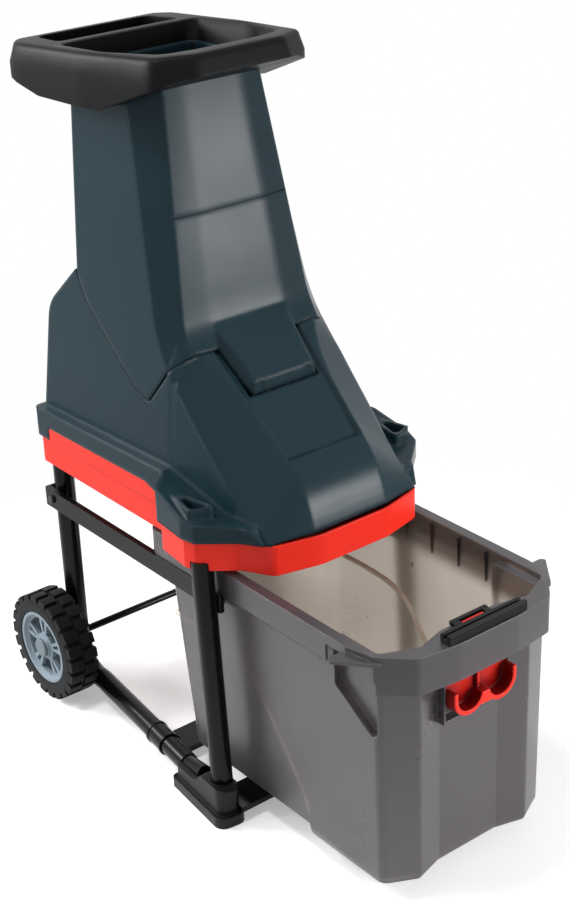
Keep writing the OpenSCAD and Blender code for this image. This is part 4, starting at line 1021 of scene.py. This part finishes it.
def light_world(ambient):
    """A white world for what shows it, and a softer one for the light that it gives."""
    world = bpy.data.worlds.new("studio")
    world.use_nodes = True
    tree = world.node_tree
    background = tree.nodes["Background"]
    background.inputs["Color"].default_value = (1, 1, 1, 1)
    strength = math_node(tree, "MULTIPLY_ADD", seen_ray(tree), 1 - ambient, ambient)
    tree.links.new(strength, background.inputs["Strength"])
    bpy.context.scene.world = world


def floor_material(solid, radius):
    """A pale floor that holds the shadow and fades into the white around it."""
    material = bpy.data.materials.new("studio_floor")
    material.use_nodes = True
    tree = material.node_tree
    shader = tree.nodes["Principled BSDF"]
    shader.inputs["Base Color"].default_value = (0.92, 0.92, 0.92, 1)
    shader.inputs["Roughness"].default_value = 0.9
    shader.inputs["Specular IOR Level"].default_value = 0.0
    place = tree.nodes.new("ShaderNodeTexCoord")
    away = tree.nodes.new("ShaderNodeVectorMath")
    away.operation = "LENGTH"
    tree.links.new(place.outputs["Object"], away.inputs[0])
    fade = add_node(
        tree, "ShaderNodeMapRange", From_Min=solid, From_Max=radius, To_Min=1.0, To_Max=0.0)
    fade.interpolation_type = "SMOOTHSTEP"
    tree.links.new(away.outputs["Value"], fade.inputs["Value"])
    tree.links.new(fade.outputs["Result"], shader.inputs["Alpha"])
    shader.inputs["Emission Color"].default_value = (1, 1, 1, 1)
    glow = math_node(tree, "MULTIPLY", seen_ray(tree), FLOOR_GLOW)
    tree.links.new(glow, shader.inputs["Emission Strength"])
    return material


def lay_floor(stage):
    """A round floor under the machine."""
    bpy.ops.mesh.primitive_circle_add(vertices=96, radius=stage.floor_radius, fill_type="NGON")
    floor = bpy.context.object
    floor.name = "studio_floor"
    floor.data.materials.append(floor_material(stage.floor_solid, stage.floor_radius))


class SHREDDER_OT_stage(bpy.types.Operator):
    """Camera, floor, lamps and world"""

    bl_idname = "shredder.stage"
    bl_label = "Stage"

    def execute(self, context):
        stage = context.scene.shredder_stage
        data = bpy.data.cameras.new("camera")
        data.lens = stage.lens
        data.sensor_width = SENSOR_WIDTH
        data.sensor_fit = "AUTO"
        camera = bpy.data.objects.new("camera", data)
        context.scene.collection.objects.link(camera)
        camera.matrix_world = look_matrix(stage)
        context.scene.camera = camera
        context.scene.view_settings.view_transform = "Standard"
        light_world(stage.ambient)
        lay_floor(stage)
        for lamp in LAMPS:
            add_lamp(*lamp)
        return {"FINISHED"}


class SHREDDER_PT_panel(bpy.types.Panel):
    """Sidebar list of the shredder's groups, colours and sizes"""

    bl_idname = "SHREDDER_PT_panel"
    bl_label = "Garden shredder"
    bl_space_type = "VIEW_3D"
    bl_region_type = "UI"
    bl_category = "Shredder"

    def draw(self, context):
        for operator in OPERATORS:
            self.layout.operator(operator.bl_idname)
        scene = context.scene
        for settings in (
                scene.shredder_finish, scene.shredder_grip, scene.shredder_rim, scene.shredder_stage):
            for name in settings.__annotations__:
                self.layout.prop(settings, name)


OPERATORS = (
    SHREDDER_OT_body, SHREDDER_OT_base, SHREDDER_OT_frame, SHREDDER_OT_wheels, SHREDDER_OT_box,
    SHREDDER_OT_controls, SHREDDER_OT_works, SHREDDER_OT_stage,
)
CLASSES = (ShredderFinish, ShredderGrip, ShredderRim, ShredderStage, *OPERATORS, SHREDDER_PT_panel)


def main():
    register()
    bpy.ops.shredder.body()
    bpy.ops.shredder.base()
    bpy.ops.shredder.frame()
    bpy.ops.shredder.wheels()
    bpy.ops.shredder.box()
    bpy.ops.shredder.controls()
    bpy.ops.shredder.works()
    bpy.ops.shredder.stage()


if __name__ == "__main__":
    main()
